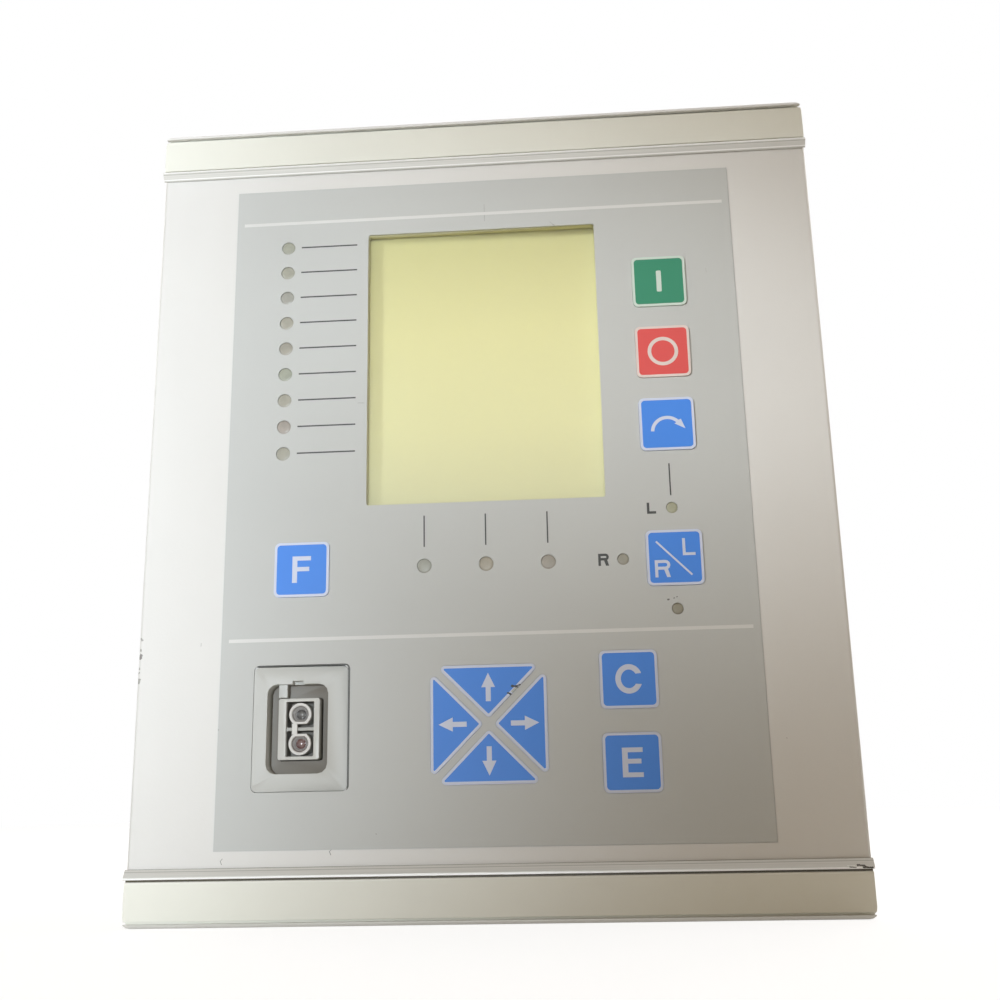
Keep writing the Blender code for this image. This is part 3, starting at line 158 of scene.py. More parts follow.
SOFT_WHITE = (1.0, 0.98, 0.95)
for name, kind, place, aim, watts, colour, form in (
        ("key_light", "SPOT", (-0.050, -0.972, 0.070), (-0.600, -0.125, 0.192), 57.5,
         (0.847, 0.931, 1.0), {"spot_size": 1.4426, "spot_blend": 1.0,
                               "shadow_soft_size": 0.10}),
        ("top_light", "SPOT", (-0.284, -0.450, 0.297), (0.078, -0.115, 0.176), 15.0,
         (0.912, 0.965, 1.0), {"spot_size": 0.2971, "spot_blend": 1.0,
                               "shadow_soft_size": 0.08}),
        ("side_light", "AREA", (0.75, 0.20, 0.85), (0, 0.1, 0.12), 3.0, SOFT_WHITE,
         {"size": 0.8}),
        ("rear_light", "AREA", (0.40, 0.90, 0.95), (0, 0.1, 0.12), 5.6, SOFT_WHITE,
         {"size": 0.7}),
        ("rear_fill", "AREA", (-0.75, 0.50, 0.85), (0, 0.05, 0.12), 3.7, SOFT_WHITE,
         {"size": 0.8})):
    light = bpy.data.lights.new(name, kind)
    light.energy = watts
    light.color = colour
    for key, value in form.items():
        setattr(light, key, value)
    lamp = linked(name, light)
    lamp.location = place
    lamp.rotation_mode = "QUATERNION"
    lamp.rotation_quaternion = (Vector(aim) - Vector(place)).to_track_quat("-Z", "Y")


# rails
# Two lengths of the same silver anodised extrusion close the front at the top and the bottom.
# Each has a channel for a label strip and a slope that runs down onto the front plate.

NUMBER, COLOUR, VECTOR = "NodeSocketFloat", "NodeSocketColor", "NodeSocketVector"
SHARP = math.radians(40)
SAME_POINT = 1e-6


def finish_of(name, roughness=0.5, metallic=0.0, **more):
    """A material with its Principled shader; plain numbers are set on the shader itself."""
    made = bpy.data.materials.new(name)
    made.use_nodes = True
    shader = made.node_tree.nodes["Principled BSDF"]
    shader.inputs["Roughness"].default_value = roughness
    shader.inputs["Metallic"].default_value = metallic
    for key, value in more.items():
        shader.inputs[key.replace("_", " ")].default_value = value
    return made, made.node_tree, shader


def noise(tree, place, scale, detail, roughness=0.5):
    return put(tree, "TexNoise", {"Vector": place, "Scale": scale, "Detail": detail,
                                  "Roughness": roughness}).outputs[0]


def place_on(tree, middle=(0, 0, 0), scale=(1, 1, 1)):
    """Object coordinates, centred on a point of the relay and stretched."""
    where = put(tree, "TexCoord").outputs["Object"]
    return vector(tree, "MULTIPLY", vector(tree, "SUBTRACT", where, middle), scale)


def new_group(name, inputs, outputs):
    """An effect that several finishes share: its tree, what goes in and what comes out."""
    tree = bpy.data.node_groups.new(name, "ShaderNodeTree")
    for way, sockets in (("INPUT", inputs), ("OUTPUT", outputs)):
        for label, kind in sockets.items():
            tree.interface.new_socket(label, in_out=way, socket_type=kind)
    return (tree, tree.nodes.new("NodeGroupInput").outputs,
            tree.nodes.new("NodeGroupOutput").inputs)


def uneven(name, scale, detail, distance, pebbles=False):
    """Noise that varies colour and roughness.  The bump comes from the same noise, or else
    from finer pebbles."""
    inputs = {"Place": VECTOR, "Colour": COLOUR, "Contrast": NUMBER, "Roughness": NUMBER,
              "Depth": NUMBER}
    if pebbles:
        inputs["Pebbles"] = NUMBER
    tree, given, result = new_group(name, inputs, {"Colour": COLOUR, "Roughness": NUMBER,
                                                   "Normal": VECTOR})
    pattern = noise(tree, given["Place"], scale, detail)
    amount = calc(tree, "MULTIPLY", ranged(tree, pattern, 0.3, 0.7, -1.0, 1.0),
                  given["Contrast"])
    if pebbles:
        pattern = noise(tree, given["Place"], given["Pebbles"], 2.0)
    bump = put(tree, "Bump", {"Height": pattern, "Strength": given["Depth"],
                              "Distance": distance})
    for label, source in (
            ("Colour", vector(tree, "SCALE", given["Colour"], calc(tree, "ADD", amount, 1.0))),
            ("Roughness", calc(tree, "ADD", amount, given["Roughness"])),
            ("Normal", bump.outputs[0])):
        tree.links.new(source, result[label])
    return tree


# Drawn grain is noise pulled out along one axis by the scale of the place that is fed in.
grain = uneven("drawn_grain", 1.0, 4.0, 0.0002)

# A scratch, chip or spot of wear, or a line of painted highlight or shade: how far a point of
# the face lies from a short line.
mark, given, result = new_group("short_mark", {"From": VECTOR, "To": VECTOR, "Width": NUMBER,
                                               "Ragged": NUMBER}, {"Mask": NUMBER})
where = put(mark, "TexCoord").outputs["Object"]
away = vector(mark, "SUBTRACT", vector(mark, "MULTIPLY", where, (1, 0, 1)), given["From"])
along = vector(mark, "SUBTRACT", given["To"], given["From"])
share = calc(mark, "DIVIDE", vector(mark, "DOT_PRODUCT", away, along),
             vector(mark, "DOT_PRODUCT", along, along), clamp=True)
apart = vector(mark, "SUBTRACT", away, vector(mark, "SCALE", along, share))
rag = calc(mark, "MULTIPLY", noise(mark, where, 2600.0, 3.0), given["Ragged"])
edge = calc(mark, "MULTIPLY", given["Width"], calc(mark, "SUBTRACT", 1.0, rag))
inside = calc(mark, "SUBTRACT", edge, vector(mark, "LENGTH", apart))
mark.links.new(calc(mark, "MULTIPLY", inside, 15000.0, clamp=True), result["Mask"])


def covered(finish, factor, colour):
    """Lay a plain colour over a finish where the factor is one."""
    tree = finish.node_tree
    shown = tree.nodes["Principled BSDF"].inputs["Base Color"]
    mixed = put(tree, "Mix", {"Factor": factor, 6: shown.links[0].from_socket,
                              7: (*colour, 1)}, data_type="RGBA")
    tree.links.new(mixed.outputs[2], shown)


def wear_and_painted_light(finish, groups):
    """Lay groups of marks over a finish, each group in its own colour; a mark is given by its
    two ends in millimetres on the face, half its width and how ragged it is.  Marks are wear
    and dirt, and also painted highlights and painted shade."""
    tree = finish.node_tree
    for colour, places in groups:
        total = None
        for x1, z1, x2, z2, width, ragged in places:
            one = put(tree, "Group", {"From": (x1 / 1000, 0, z1 / 1000),
                                      "To": (x2 / 1000, 0, z2 / 1000), "Width": width / 1000,
                                      "Ragged": ragged}, node_tree=mark).outputs["Mask"]
            total = one if total is None else calc(tree, "MAXIMUM", total, one)
        covered(finish, total, colour)


def surfaced(name, effect, colour, contrast, roughness, depth, scale=(1, 1, 1), marks=(),
             pebbles=None, **more):
    """A finish that takes colour, roughness and normal from an effect, with marks on it."""
    finish, tree, shader = finish_of(name, **more)
    inputs = {"Place": place_on(tree, scale=scale), "Colour": (*colour, 1),
              "Contrast": contrast, "Roughness": roughness, "Depth": depth}
    if pebbles:
        inputs["Pebbles"] = pebbles
    base = put(tree, "Group", inputs, node_tree=effect).outputs
    for source, target in (("Colour", "Base Color"), ("Roughness", "Roughness"),
                           ("Normal", "Normal")):
        tree.links.new(base[source], shader.inputs[target])
    wear_and_painted_light(finish, marks)
    return finish


def placed(name, mesh, finishes, body="relay", sharp=SHARP):
    """Put a finished piece in the scene, on its body."""
    for finish in finishes:
        mesh.materials.append(finish)
    if sharp:
        mesh.shade_smooth()
        mesh.set_sharp_from_angle(angle=sharp)
    piece = linked(name, mesh)
    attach(piece, body)
    return piece


def broken(piece, title, width, segments, angle):
    """Round a piece's sharp edges."""
    bevel = piece.modifiers.new(title, "BEVEL")
    bevel.width = width
    bevel.segments = segments
    bevel.limit_method = "ANGLE"
    bevel.angle_limit = angle
    return bevel


def softened(node, width, finish, segments=2):
    """A copy of a node with smooth bends and broken edges, which stands for the node.  Thin
    sheet with many openings keeps its edges: its width is nought."""
    bm = bmesh.new()
    bm.from_mesh(nodes[node].data)
    bmesh.ops.remove_doubles(bm, verts=bm.verts, dist=SAME_POINT)
    if width:
        bmesh.ops.dissolve_limit(bm, angle_limit=math.radians(0.6), verts=bm.verts,
                                 edges=bm.edges)
        bmesh.ops.connect_verts_concave(bm, faces=bm.faces)
    mesh = mesh_of(bm, node + "_piece", nodes[node].data.copy())
    mesh.materials.clear()
    piece = placed(node + "_piece", mesh, [finish])
    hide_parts(node)
    if width:
        bevel = broken(piece, "broken edges", width, segments, SHARP)
        bevel.harden_normals = True
        bevel.use_clamp_overlap = True
    else:
        flat = piece.modifiers.new("flat faces", "WEIGHTED_NORMAL")
        flat.keep_sharp = True
        flat.weight = 100


def streak(z, width, ragged=0.3):
    """A mark along the whole width of the front."""
    return -112, z, 112, z, width, ragged


# Painted highlights run along the lips, and painted shade along the slopes' edges.  The bottom
# rail's lip is dented at its right end; the dent is painted on as dark and pale marks.
anodised = surfaced("silver_anodised", grain, (0.68, 0.67, 0.635), 0.07, 0.36, 0.12,
                    (18, 3200, 3200), metallic=0.2, marks=[
    ((0.92, 0.92, 0.90), [streak(265.4, 0.50), streak(251.65, 0.32), streak(249.55, 0.20),
                          streak(14.25, 0.32), (103.9, 14.9, 106.2, 14.8, 0.24, 1.2)]),
    ((0.46, 0.455, 0.42), [streak(251.05, 0.15), streak(249.12, 0.14), streak(16.15, 0.15)]),
    ((0.16, 0.14, 0.11), [streak(16.9, 0.14)]),
    ((0.07, 0.06, 0.045), [(104.6, 14.5, 106.4, 14.3, 0.30, 1.0),
                           (106.9, 15.0, 108.9, 14.8, 0.56, 1.1),
                           (108.6, 14.4, 111.2, 14.2, 0.62, 1.0)])])
for name in ("top_rail", "bottom_rail"):
    softened(name, 0.00012, anodised)


# label strips
# Printed plastic strips slid into the rails, slightly yellowed.  The places of their print
# are left bare.

# Moulded or sprayed surfaces have soft mottling and a fine pebble.
pebble = uneven("fine_pebble", 28.0, 5.0, 0.0001, True)


def pebbled(name, colour, mottle, roughness, depth, pebbles=2500.0, marks=(), **more):
    return surfaced(name, pebble, colour, mottle, roughness, depth, pebbles=pebbles,
                    marks=marks, **more)


# Painted shade lies along the bottom strip's upper edge under the rail's lip, with a painted
# highlight along the edge of its raised face just below.
beige = pebbled("beige_strip", (0.92, 0.92, 0.84), 0.02, 0.42, 0.05, 1800, [
    ((0.97, 0.96, 0.90), [streak(12.95, 0.32)]),
    ((0.10, 0.085, 0.06), [streak(13.6, 0.40, 0.2)])])
for name in ("top_label_strip", "bottom_label_strip"):
    softened(name, 0.00015, beige)


# front plate
# Aluminium plate with turned-back sides, powder-coated light grey.  The coat is chipped at the
# left edge, and a tool has left small crescents under the film.

powder_coat = pebbled("grey_powder_coat", (0.83, 0.82, 0.80), 0.012, 0.40, 0.22, 1500, [
    ((0.42, 0.41, 0.39), [
        (-111.0, 87.3, -110.7, 86.8, 0.85, 1.0), (-111.0, 83.8, -110.9, 83.4, 0.60, 1.0),
        (-111.1, 77.9, -111.1, 77.7, 0.60, 1.0), (-111.4, 76.4, -111.1, 76.6, 0.60, 1.0),
        (-110.9, 74.3, -111.1, 73.4, 0.95, 1.0)]),
    ((0.30, 0.29, 0.28), [(-110.9, 82.0, -111.0, 81.2, 1.10, 1.0)]),
    ((0.93, 0.93, 0.92), [(-111.3, 80.5, -111.5, 79.5, 0.40, 1.0)]),
    ((0.20, 0.19, 0.18), [
        (-81.9, 19.6, -82.5, 18.9, 0.15, 0.6), (-82.5, 18.9, -82.1, 17.9, 0.15, 0.6),
        (-48.4, 21.9, -49.0, 21.2, 0.16, 0.6), (-49.0, 21.2, -48.6, 20.2, 0.16, 0.6)]),
    ((0.50, 0.49, 0.47), [
        (-91.4, 85.3, -91.4, 84.4, 0.20, 0.8), (89.8, 51.7, 90.0, 51.6, 0.18, 0.6)]),
    # The top and left sides of the display's opening are painted darker and yellowish: painted
    # shade, tinted by light thrown back from the display.
    ((0.55, 0.52, 0.27), [(-38.75, 224.75, 38.75, 224.75, 0.55, 0.1)]),
    ((0.59, 0.58, 0.47), [(-38.75, 128.55, -38.75, 224.2, 0.50, 0.1)]),
    # Painted shade in the gap at the port's upper and right sides and round their corners.
    ((0.09, 0.09, 0.08), [
        (-43.60, 39.5, -43.60, 76.6, 0.62, 0.2), (-44.3, 77.55, -43.60, 76.6, 0.50, 0.2),
        (-43.60, 39.5, -44.2, 38.7, 0.45, 0.2), (-72.9, 77.55, -44.3, 77.55, 0.45, 0.2)])])
softened("front_plate", 0, powder_coat)


# overlay film
# A grey polycarbonate film with a fine matt grain, bonded into the plate's recess.  Openings
# are punched in it for the display, the port, the keys and the lamps.

film_low, film_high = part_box("overlay_film")
FACE_X = (film_low.x + film_high.x) / 2
FACE_Z = (film_low.z + film_high.z) / 2
FILM_Y = film_low.y
RUNNING_GAP = 0.00015


def fan(x, z, radius, first, last, steps):
    """Points on an arc, with its angles in degrees."""
    return [(x + radius * math.cos(math.radians(first + (last - first) * i / steps)),
             z + radius * math.sin(math.radians(first + (last - first) * i / steps)))
            for i in range(steps + 1)]


def ring(x, z, radius, steps=48):
    return fan(x, z, radius, 0, 360, steps)[:-1]


def round_box(x, z, width, height, radius, steps=8):
    points = []
    for quarter, (sx, sz) in enumerate(((1, 1), (-1, 1), (-1, -1), (1, -1))):
        points += fan(x + sx * (width / 2 - radius), z + sz * (height / 2 - radius), radius,
                      90 * quarter, 90 * quarter + 90, steps)
    return points


def round_points(corners, radius, steps=8):
    """A convex outline, counter-clockwise, with an arc in each corner."""
    points = []
    for i, corner in enumerate(corners):
        here = Vector(corner)
        back = (Vector(corners[i - 1]) - here).normalized()
        ahead = (Vector(corners[(i + 1) % len(corners)]) - here).normalized()
        half = back.angle(ahead) / 2
        centre = here + (back + ahead).normalized() * radius / math.sin(half)
        last = math.degrees(math.atan2(-ahead.x, ahead.y))
        points += fan(centre.x, centre.y, radius, last - 180 + math.degrees(2 * half), last,
                      steps)
    return points


def baked(holder, *helpers):
    """The finished mesh of an object; the object and its helpers are then removed."""
    bpy.context.view_layer.update()
    mesh = bpy.data.meshes.new_from_object(
        holder.evaluated_get(bpy.context.evaluated_depsgraph_get()))
    for spent in (holder, *helpers):
        bpy.data.objects.remove(spent)
    return mesh


def closed(bm, distance):
    """Merge the points that meet and turn the faces out."""
    bmesh.ops.remove_doubles(bm, verts=bm.verts, dist=distance)
    bmesh.ops.recalc_face_normals(bm, faces=bm.faces)


def sheet_from(name, loops, front, thickness, finish, body="relay"):
    """A flat piece on the face, cut from outlines in x and z; front is its outer plane."""
    curve = bpy.data.curves.new(name, "CURVE")
    curve.dimensions = "2D"
    curve.fill_mode = "BOTH"
    curve.extrude = thickness / 2
    for loop in loops:
        spline = curve.splines.new("POLY")
        spline.points.add(len(loop) - 1)
        for point, (x, z) in zip(spline.points, loop):
            point.co = (x, z, 0, 1)
        spline.use_cyclic_u = True
    mesh = baked(linked(name, curve))
    mesh.transform(Matrix(((1, 0, 0, 0), (0, 0, -1, front + thickness / 2), (0, 1, 0, 0),
                           (0, 0, 0, 1))))
    bm = bmesh.new()
    bm.from_mesh(mesh)
    closed(bm, SAME_POINT)
    return placed(name, mesh_of(bm, name, mesh), [finish], body, None)


def centre_of(node):
    low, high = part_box(node)
    return (low.x + high.x) / 2, (low.z + high.z) / 2


KEY = 0.0177
KEY_ROUND = 0.0018
KEY_SPOTS = {"key_" + use: use + "_button" for use in ("close", "open", "select", "place",
                                                       "function", "cancel", "enter")}

# The four arrow keys fill a square; each is a triangle with its base on the square's side.
NAV = 0.0360
NAV_STRIP = 0.00175
NAV_ROUND = 0.0012
NAV_HALF = NAV / 2 - NAV_STRIP
NAV_INNER = NAV_HALF * (math.sqrt(2) - 1)
NAV_X = FACE_X
NAV_Z = (centre_of("key_cancel")[1] + centre_of("key_enter")[1]) / 2


def turned(points, quarters):
    for _ in range(quarters):
        points = [(-z, x) for x, z in points]
    return points


def arrow_key(quarters, inset=0.0, radius=NAV_ROUND):
    """Outline of an arrow key, made smaller by the inset, in its place on the face."""
    inner = NAV_INNER - inset
    half = NAV_HALF * inner / NAV_INNER
    centre = NAV / 2 - NAV_INNER
    points = round_points([(half, inner), (-half, inner), (0, inner - half)], radius)
    points = turned([(x, z + centre) for x, z in points], quarters)
    return [(NAV_X + x, NAV_Z + z) for x, z in points]


LAMP_WINDOW = 0.00235
SMALL_WINDOW = 0.00185
ALARM_PITCH = 0.00926
STATUS_PITCH = 0.0198
ALARM_X, alarm_z = centre_of("alarm_lamps")
status_z = centre_of("status_lamps")[1]
ALARM_SPOTS = [(ALARM_X, alarm_z + (4 - i) * ALARM_PITCH) for i in range(9)]
STATUS_SPOTS = [(FACE_X + i * STATUS_PITCH, status_z) for i in (-1, 0, 1)]
MODE_SPOTS = [centre_of(name) for name in ("local_lamp", "remote_lamp", "logic_lamp")]

VIEW_W, VIEW_H, VIEW_ROUND = 0.0775, 0.0962, 0.0008
VIEW_Z = centre_of("display_glass")[1]
PORT_W, PORT_H, PORT_ROUND = 0.0295, 0.0381, 0.0016
PORT_X = FACE_X - 0.0590
# The film is cut a little wide at the port's upper and right sides.
PORT_WIDE_X, PORT_WIDE_Z = 0.0008, 0.0005

film_finish = pebbled("matt_grey_film", (0.614, 0.626, 0.614), 0.012, 0.50, 0.12, 3200, [
    ((0.14, 0.14, 0.13), [
        (1.42, 234.2, 1.48, 227.8, 0.10, 0.7), (23.9, 226.2, 25.9, 224.2, 0.16, 1.1),
        (-41.8, 163.8, -39.8, 163.7, 0.11, 0.7), (-37.8, 163.9, -37.7, 163.9, 0.16, 0.5),
        (56.7, 94.75, 57.0, 94.75, 0.42, 0.6), (58.6, 95.1, 58.8, 95.1, 0.50, 1.3),
        (59.5, 95.5, 59.7, 95.6, 0.50, 1.3)]),
    ((0.30, 0.29, 0.27), [
        (-85.6, 58.1, -84.6, 58.1, 0.30, 0.8), (-34.8, 26.1, -34.7, 26.0, 0.20, 0.5),
        (75.4, 206.2, 75.6, 204.9, 0.09, 0.7)])])
loops = [[(film_low.x, film_low.z), (film_high.x, film_low.z), (film_high.x, film_high.z),
          (film_low.x, film_high.z)],
         round_box(FACE_X, VIEW_Z, VIEW_W, VIEW_H, VIEW_ROUND),
         round_box(PORT_X + PORT_WIDE_X / 2, NAV_Z + PORT_WIDE_Z / 2,
                   PORT_W + 2 * RUNNING_GAP + PORT_WIDE_X,
                   PORT_H + 2 * RUNNING_GAP + PORT_WIDE_Z, PORT_ROUND + RUNNING_GAP)]
loops += [round_box(*centre_of(name), KEY + 2 * RUNNING_GAP, KEY + 2 * RUNNING_GAP,
                    KEY_ROUND + RUNNING_GAP) for name in KEY_SPOTS]
loops += [arrow_key(quarters, -RUNNING_GAP, NAV_ROUND + RUNNING_GAP) for quarters in range(4)]
loops += [ring(x, z, LAMP_WINDOW) for x, z in ALARM_SPOTS + STATUS_SPOTS]
loops += [ring(x, z, SMALL_WINDOW) for x, z in MODE_SPOTS]
film = sheet_from("overlay_film_sheet", loops, FILM_Y, film_high.y - film_low.y, film_finish)
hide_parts("overlay_film")

# Its print is screened on: white rules, dark lines to the lamps and two letters.
INK = 0.00004
INK_Y = FILM_Y - INK / 2
RULE_HALF, RULE_W = 0.0824, 0.0011
ALARM_LINE_W, LINE_W = 0.00048, 0.00045


def bar(x1, z1, x2, z2, width):
    """Outline of a straight line between two points of the face."""
    a, b = Vector((x1, z1)), Vector((x2, z2))
    side = (b - a).orthogonal().normalized() * width / 2
    return [tuple(a - side), tuple(b - side), tuple(b + side), tuple(a + side)]


def on_face(x, z, loops):
    """Outlines given in millimetres about a point of the face."""
    return [[(x + u / 1000, z + v / 1000) for u, v in loop] for loop in loops]


def letter_l(width, height, stroke):
    w, h = width / 2, height / 2
    return [[(-w, -h), (w, -h), (w, -h + stroke), (-w + stroke, -h + stroke),
             (-w + stroke, h), (-w, h)]]


def letter_r(width, height, stroke):
    """A stem, a bowl with its opening and a steep straight leg."""
    w, h = width / 2, height / 2
    bowl, leg = height * 0.28, stroke * 1.2
    turn_x, under = w - bowl, h - 2 * bowl
    outer = fan(turn_x, h - bowl, bowl, -60, 90, 12)
    counter = fan(turn_x, h - bowl, bowl - stroke, -90, 90, 12)
    return [[(-w, -h), (-w + stroke, -h), (-w + stroke, under),
             (turn_x - leg + 0.45 * bowl, under), (w - leg, -h), (w, -h)] + outer + [(-w, h)],
            [(-w + stroke, under + stroke)] + counter + [(-w + stroke, h - stroke)]]


white_ink = pebbled("white_ink", (0.80, 0.80, 0.79), 0.03, 0.5, 0.10, 3200)
dark_ink = pebbled("dark_ink", (0.060, 0.062, 0.060), 0.06, 0.5, 0.10, 3200)
rules = [bar(FACE_X - RULE_HALF, FACE_Z + z, FACE_X + RULE_HALF, FACE_Z + z, RULE_W)
         for z in (0.0982, -0.0468)]
sheet_from("white_rules", rules, INK_Y, INK, white_ink)
leaders = [bar(FACE_X - 0.0620, z, FACE_X - 0.0426, z, ALARM_LINE_W) for _, z in ALARM_SPOTS]
leaders += [bar(x, FACE_Z - 0.0080, x, FACE_Z - 0.0183, LINE_W) for x, _ in STATUS_SPOTS]
leaders.append(bar(FACE_X + 0.05945, FACE_Z + 0.0064, FACE_X + 0.05945, FACE_Z - 0.0042,
                   LINE_W))
for name, loops in (
        ("lamp_lines", leaders),
        ("local_letter", on_face(FACE_X + 0.0531, FACE_Z - 0.0082, letter_l(2.85, 3.65, 0.8))),
        ("remote_letter", on_face(FACE_X + 0.03725, FACE_Z - 0.0244,
                                  letter_r(3.35, 3.9, 0.8)))):
    sheet_from(name, loops, INK_Y, INK, dark_ink)


# display
# An unlit yellow-green liquid crystal panel in a black bezel, a few millimetres behind a
# clear window in the plate's opening.

def dress(finish, *names):
    """Give CAD nodes their finish."""
    for name in names:
        nodes[name].data.materials.clear()
        nodes[name].data.materials.append(finish)


window, tree, shader = finish_of("clear_window", roughness=0.12, Alpha=0.10,
                                 Base_Color=(0.90, 0.92, 0.86, 1))
haze = ranged(tree, noise(tree, place_on(tree), 60.0, 6.0), 0.35, 0.8, 0.07, 0.20)
tree.links.new(haze, shader.inputs["Roughness"])
dress(window, "display_window")

PIXELS_PER_METRE = 2325


def ramp_of(tree, factor, low, high):
    """A colour ramp from a low to a high colour."""
    ramp = put(tree, "ValToRGB", {0: factor})
    for stop, colour in zip(ramp.color_ramp.elements, (low, high)):
        stop.color = (*colour, 1)
    return ramp


liquid, tree, shader = finish_of("liquid_crystal", roughness=0.30)
# The panel is painted darker and more olive towards its top: painted shade.
height = put(tree, "SeparateXYZ", {0: place_on(tree, (0, 0, VIEW_Z), (20, 1, 20))})
ramp = ramp_of(tree, ranged(tree, height.outputs[2], -1.0, 1.0), (0.92, 0.91, 0.54),
               (0.77, 0.74, 0.31))
for position, colour in ((0.28, (0.97, 0.94, 0.50, 1)), (0.62, (0.93, 0.89, 0.42, 1))):
    ramp.color_ramp.elements.new(position).color = colour
# The pixels show as a grid of faint lines, 0.43 mm apart.
grid = put(tree, "SeparateXYZ", {0: place_on(tree, scale=(PIXELS_PER_METRE,) * 3)}).outputs
across, down = (calc(tree, "LESS_THAN", calc(tree, "FRACT", grid[axis]), 0.12)
                for axis in (0, 2))
shade = calc(tree, "MULTIPLY_ADD", calc(tree, "MAXIMUM", across, down), -0.035, 1.0)
tree.links.new(vector(tree, "SCALE", ramp.outputs[0], shade), shader.inputs["Base Color"])
dress(liquid, "display_glass")

black_plastic = pebbled("black_plastic", (0.030, 0.030, 0.032), 0.10, 0.48, 0.20, 1600)
white_plastic = pebbled("white_plastic", (0.78, 0.78, 0.75), 0.02, 0.42, 0.08, 1600)
dress(black_plastic, "display_bezel")
dress(white_plastic, "display_backlight")


# keys
# Each key is a stiff pad with a white border, a printed field and a white sign, on a flange
# and a plunger that stay hidden behind the film.

KEY_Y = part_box("key_close")[0].y
CAP = 0.00006
BORDER = 0.0008
FIELD_ROUND = 0.0012
FIELD_Y = KEY_Y - CAP - 0.00002
SIGN_Y = FIELD_Y - 0.00002
THIN = 0.00005
PAD_GROWS = 0.00003

# The paint of the up key is nicked at its right side, through its field and its border.
key_nicks = [
    ((0.56, 0.57, 0.52), [(7.4, 67.6, 8.9, 69.0, 0.62, 0.9)]),
    ((0.03, 0.035, 0.04), [
        (7.4, 69.25, 8.9, 69.1, 0.74, 0.9), (8.9, 69.2, 9.9, 69.7, 0.34, 0.9),
        (6.0, 67.2, 6.9, 66.9, 0.50, 0.9), (6.7, 66.9, 7.4, 66.4, 0.50, 0.8)])]
key_borders, key_paints = {}, {}
for colour, border, field, nicks in (
        ("blue", (0.72, 0.77, 0.94), (0.075, 0.290, 0.920), key_nicks),
        ("green", (0.68, 0.78, 0.71), (0.040, 0.270, 0.155), ()),
        ("red", (0.84, 0.72, 0.68), (0.800, 0.105, 0.100), ())):
    key_borders[colour] = pebbled(f"pale_{colour}_border", border, 0.02, 0.48, 0.10, 3200,
                                  nicks)
    key_paints[colour] = pebbled(colour + "_field", field, 0.02, 0.50, 0.12, 3200, nicks)


def key_top(name, body, colour, outline, field):
    """The visible top of a key: a pad with a softly rounded rim, and the field on it."""
    dress(key_borders[colour], name)
    piece = sheet_from(name + "_pad", [outline], KEY_Y - CAP, 0.0004, key_borders[colour],
                       body)
    broken(piece, "rounded rim", 0.00022, 3, math.radians(60))
    piece.data.shade_smooth()
    piece.data.set_sharp_from_angle(angle=SHARP)
    sheet_from(name + "_field", [field], FIELD_Y, THIN, key_paints[colour],
               body)


# The signs, in millimetres about each key's centre: I and O switch the breaker on and off, a
# curved arrow chooses what is switched, and L and R stand for local and remote.
arm, stem, half_f, half_e, high_f, high_e = 1.4, 1.6, 3.0, 3.125, 4.3, 4.375
stem_f, stem_e, in_f, in_e = -half_f + stem, -half_e + 1.7, high_f - arm, high_e - arm
signs = {
    "key_close": [[round_box(0, 0, 1.65, 7.6, 0.4)]],
    "key_open": [[ring(0, 0, 5.0, 64), ring(0, 0, 3.8, 64)]],
    "key_select": [[fan(0, -2.77, 5.35, 176.8, 46, 24)
                    + [(4.5, 1.4), (5.8, -1.9), (2.35, -0.1)]
                    + fan(0, -2.77, 4.25, 46, 176.8, 24)]],
    "key_place": [[bar(-5.7, 5.2, 5.1, -5.75, 0.6)],
                  [[(4.5 + u, 3.25 + v) for u, v in letter_l(3.95, 5.5, 0.9)[0]]],
                  [[(-4.0 + u, -3.55 + v)
                    for u, v in loop] for loop in letter_r(4.8, 5.5, 0.95)]],
    "key_function": [[[(-half_f, -high_f), (stem_f, -high_f), (stem_f, -0.6), (2.5, -0.6),
                       (2.5, 0.8), (stem_f, 0.8), (stem_f, in_f), (half_f, in_f),
                       (half_f, high_f), (-half_f, high_f)]]],
    "key_cancel": [[[(4.15 * u, 4.50 * v) for u, v in fan(0, 0, 1, 22, 338, 48)]
                    + [(2.45 * u, 2.83 * v) for u, v in fan(0, 0, 1, 327, 33, 48)]]],
    "key_enter": [[[(-half_e, -high_e), (half_e, -high_e), (half_e, -in_e), (stem_e, -in_e),
                    (stem_e, -0.39), (2.6, -0.39), (2.6, 1.03), (stem_e, 1.03),
                    (stem_e, in_e), (half_e, in_e), (half_e, high_e), (-half_e, high_e)]]],
}
colours = {"key_close": "green", "key_open": "red"}
pad, field = KEY + 2 * PAD_GROWS, KEY - 2 * BORDER
for name, body in KEY_SPOTS.items():
    x, z = centre_of(name)
    key_top(name, body, colours.get(name, "blue"), round_box(x, z, pad, pad, KEY_ROUND),
            round_box(x, z, field, field, FIELD_ROUND))
for name, parts in signs.items():
    colour = colours.get(name, "blue")
    for i, loops in enumerate(parts):
        sheet_from(f"{name}_sign_{i + 1}", on_face(*centre_of(name), loops), SIGN_Y, THIN,
                   key_borders[colour], KEY_SPOTS[name])

# The arrow keys, counter-clockwise from the top.
ARROW_BORDER = 0.00085
top = 1000 * NAV / 2 - 2.5
shape = [(0, top), (-2.15, top - 4.4), (-0.78, top - 4.4), (-0.78, top - 8.7),
         (0.78, top - 8.7), (0.78, top - 4.4), (2.15, top - 4.4)]
for quarters, way in enumerate(("up", "left", "down", "right")):
    name, body = "key_" + way, way + "_button"
    key_top(name, body, "blue", arrow_key(quarters, -PAD_GROWS),
            arrow_key(quarters, ARROW_BORDER, 0.0003))
    sheet_from(name + "_sign", on_face(NAV_X, NAV_Z, [turned(shape, quarters)]), SIGN_Y, THIN,
               key_borders["blue"], body)


# lamps
# Unlit lamps: smoky, slightly domed ends of light pipes in the film's round windows.  The
# holders behind them are the same clear plastic.

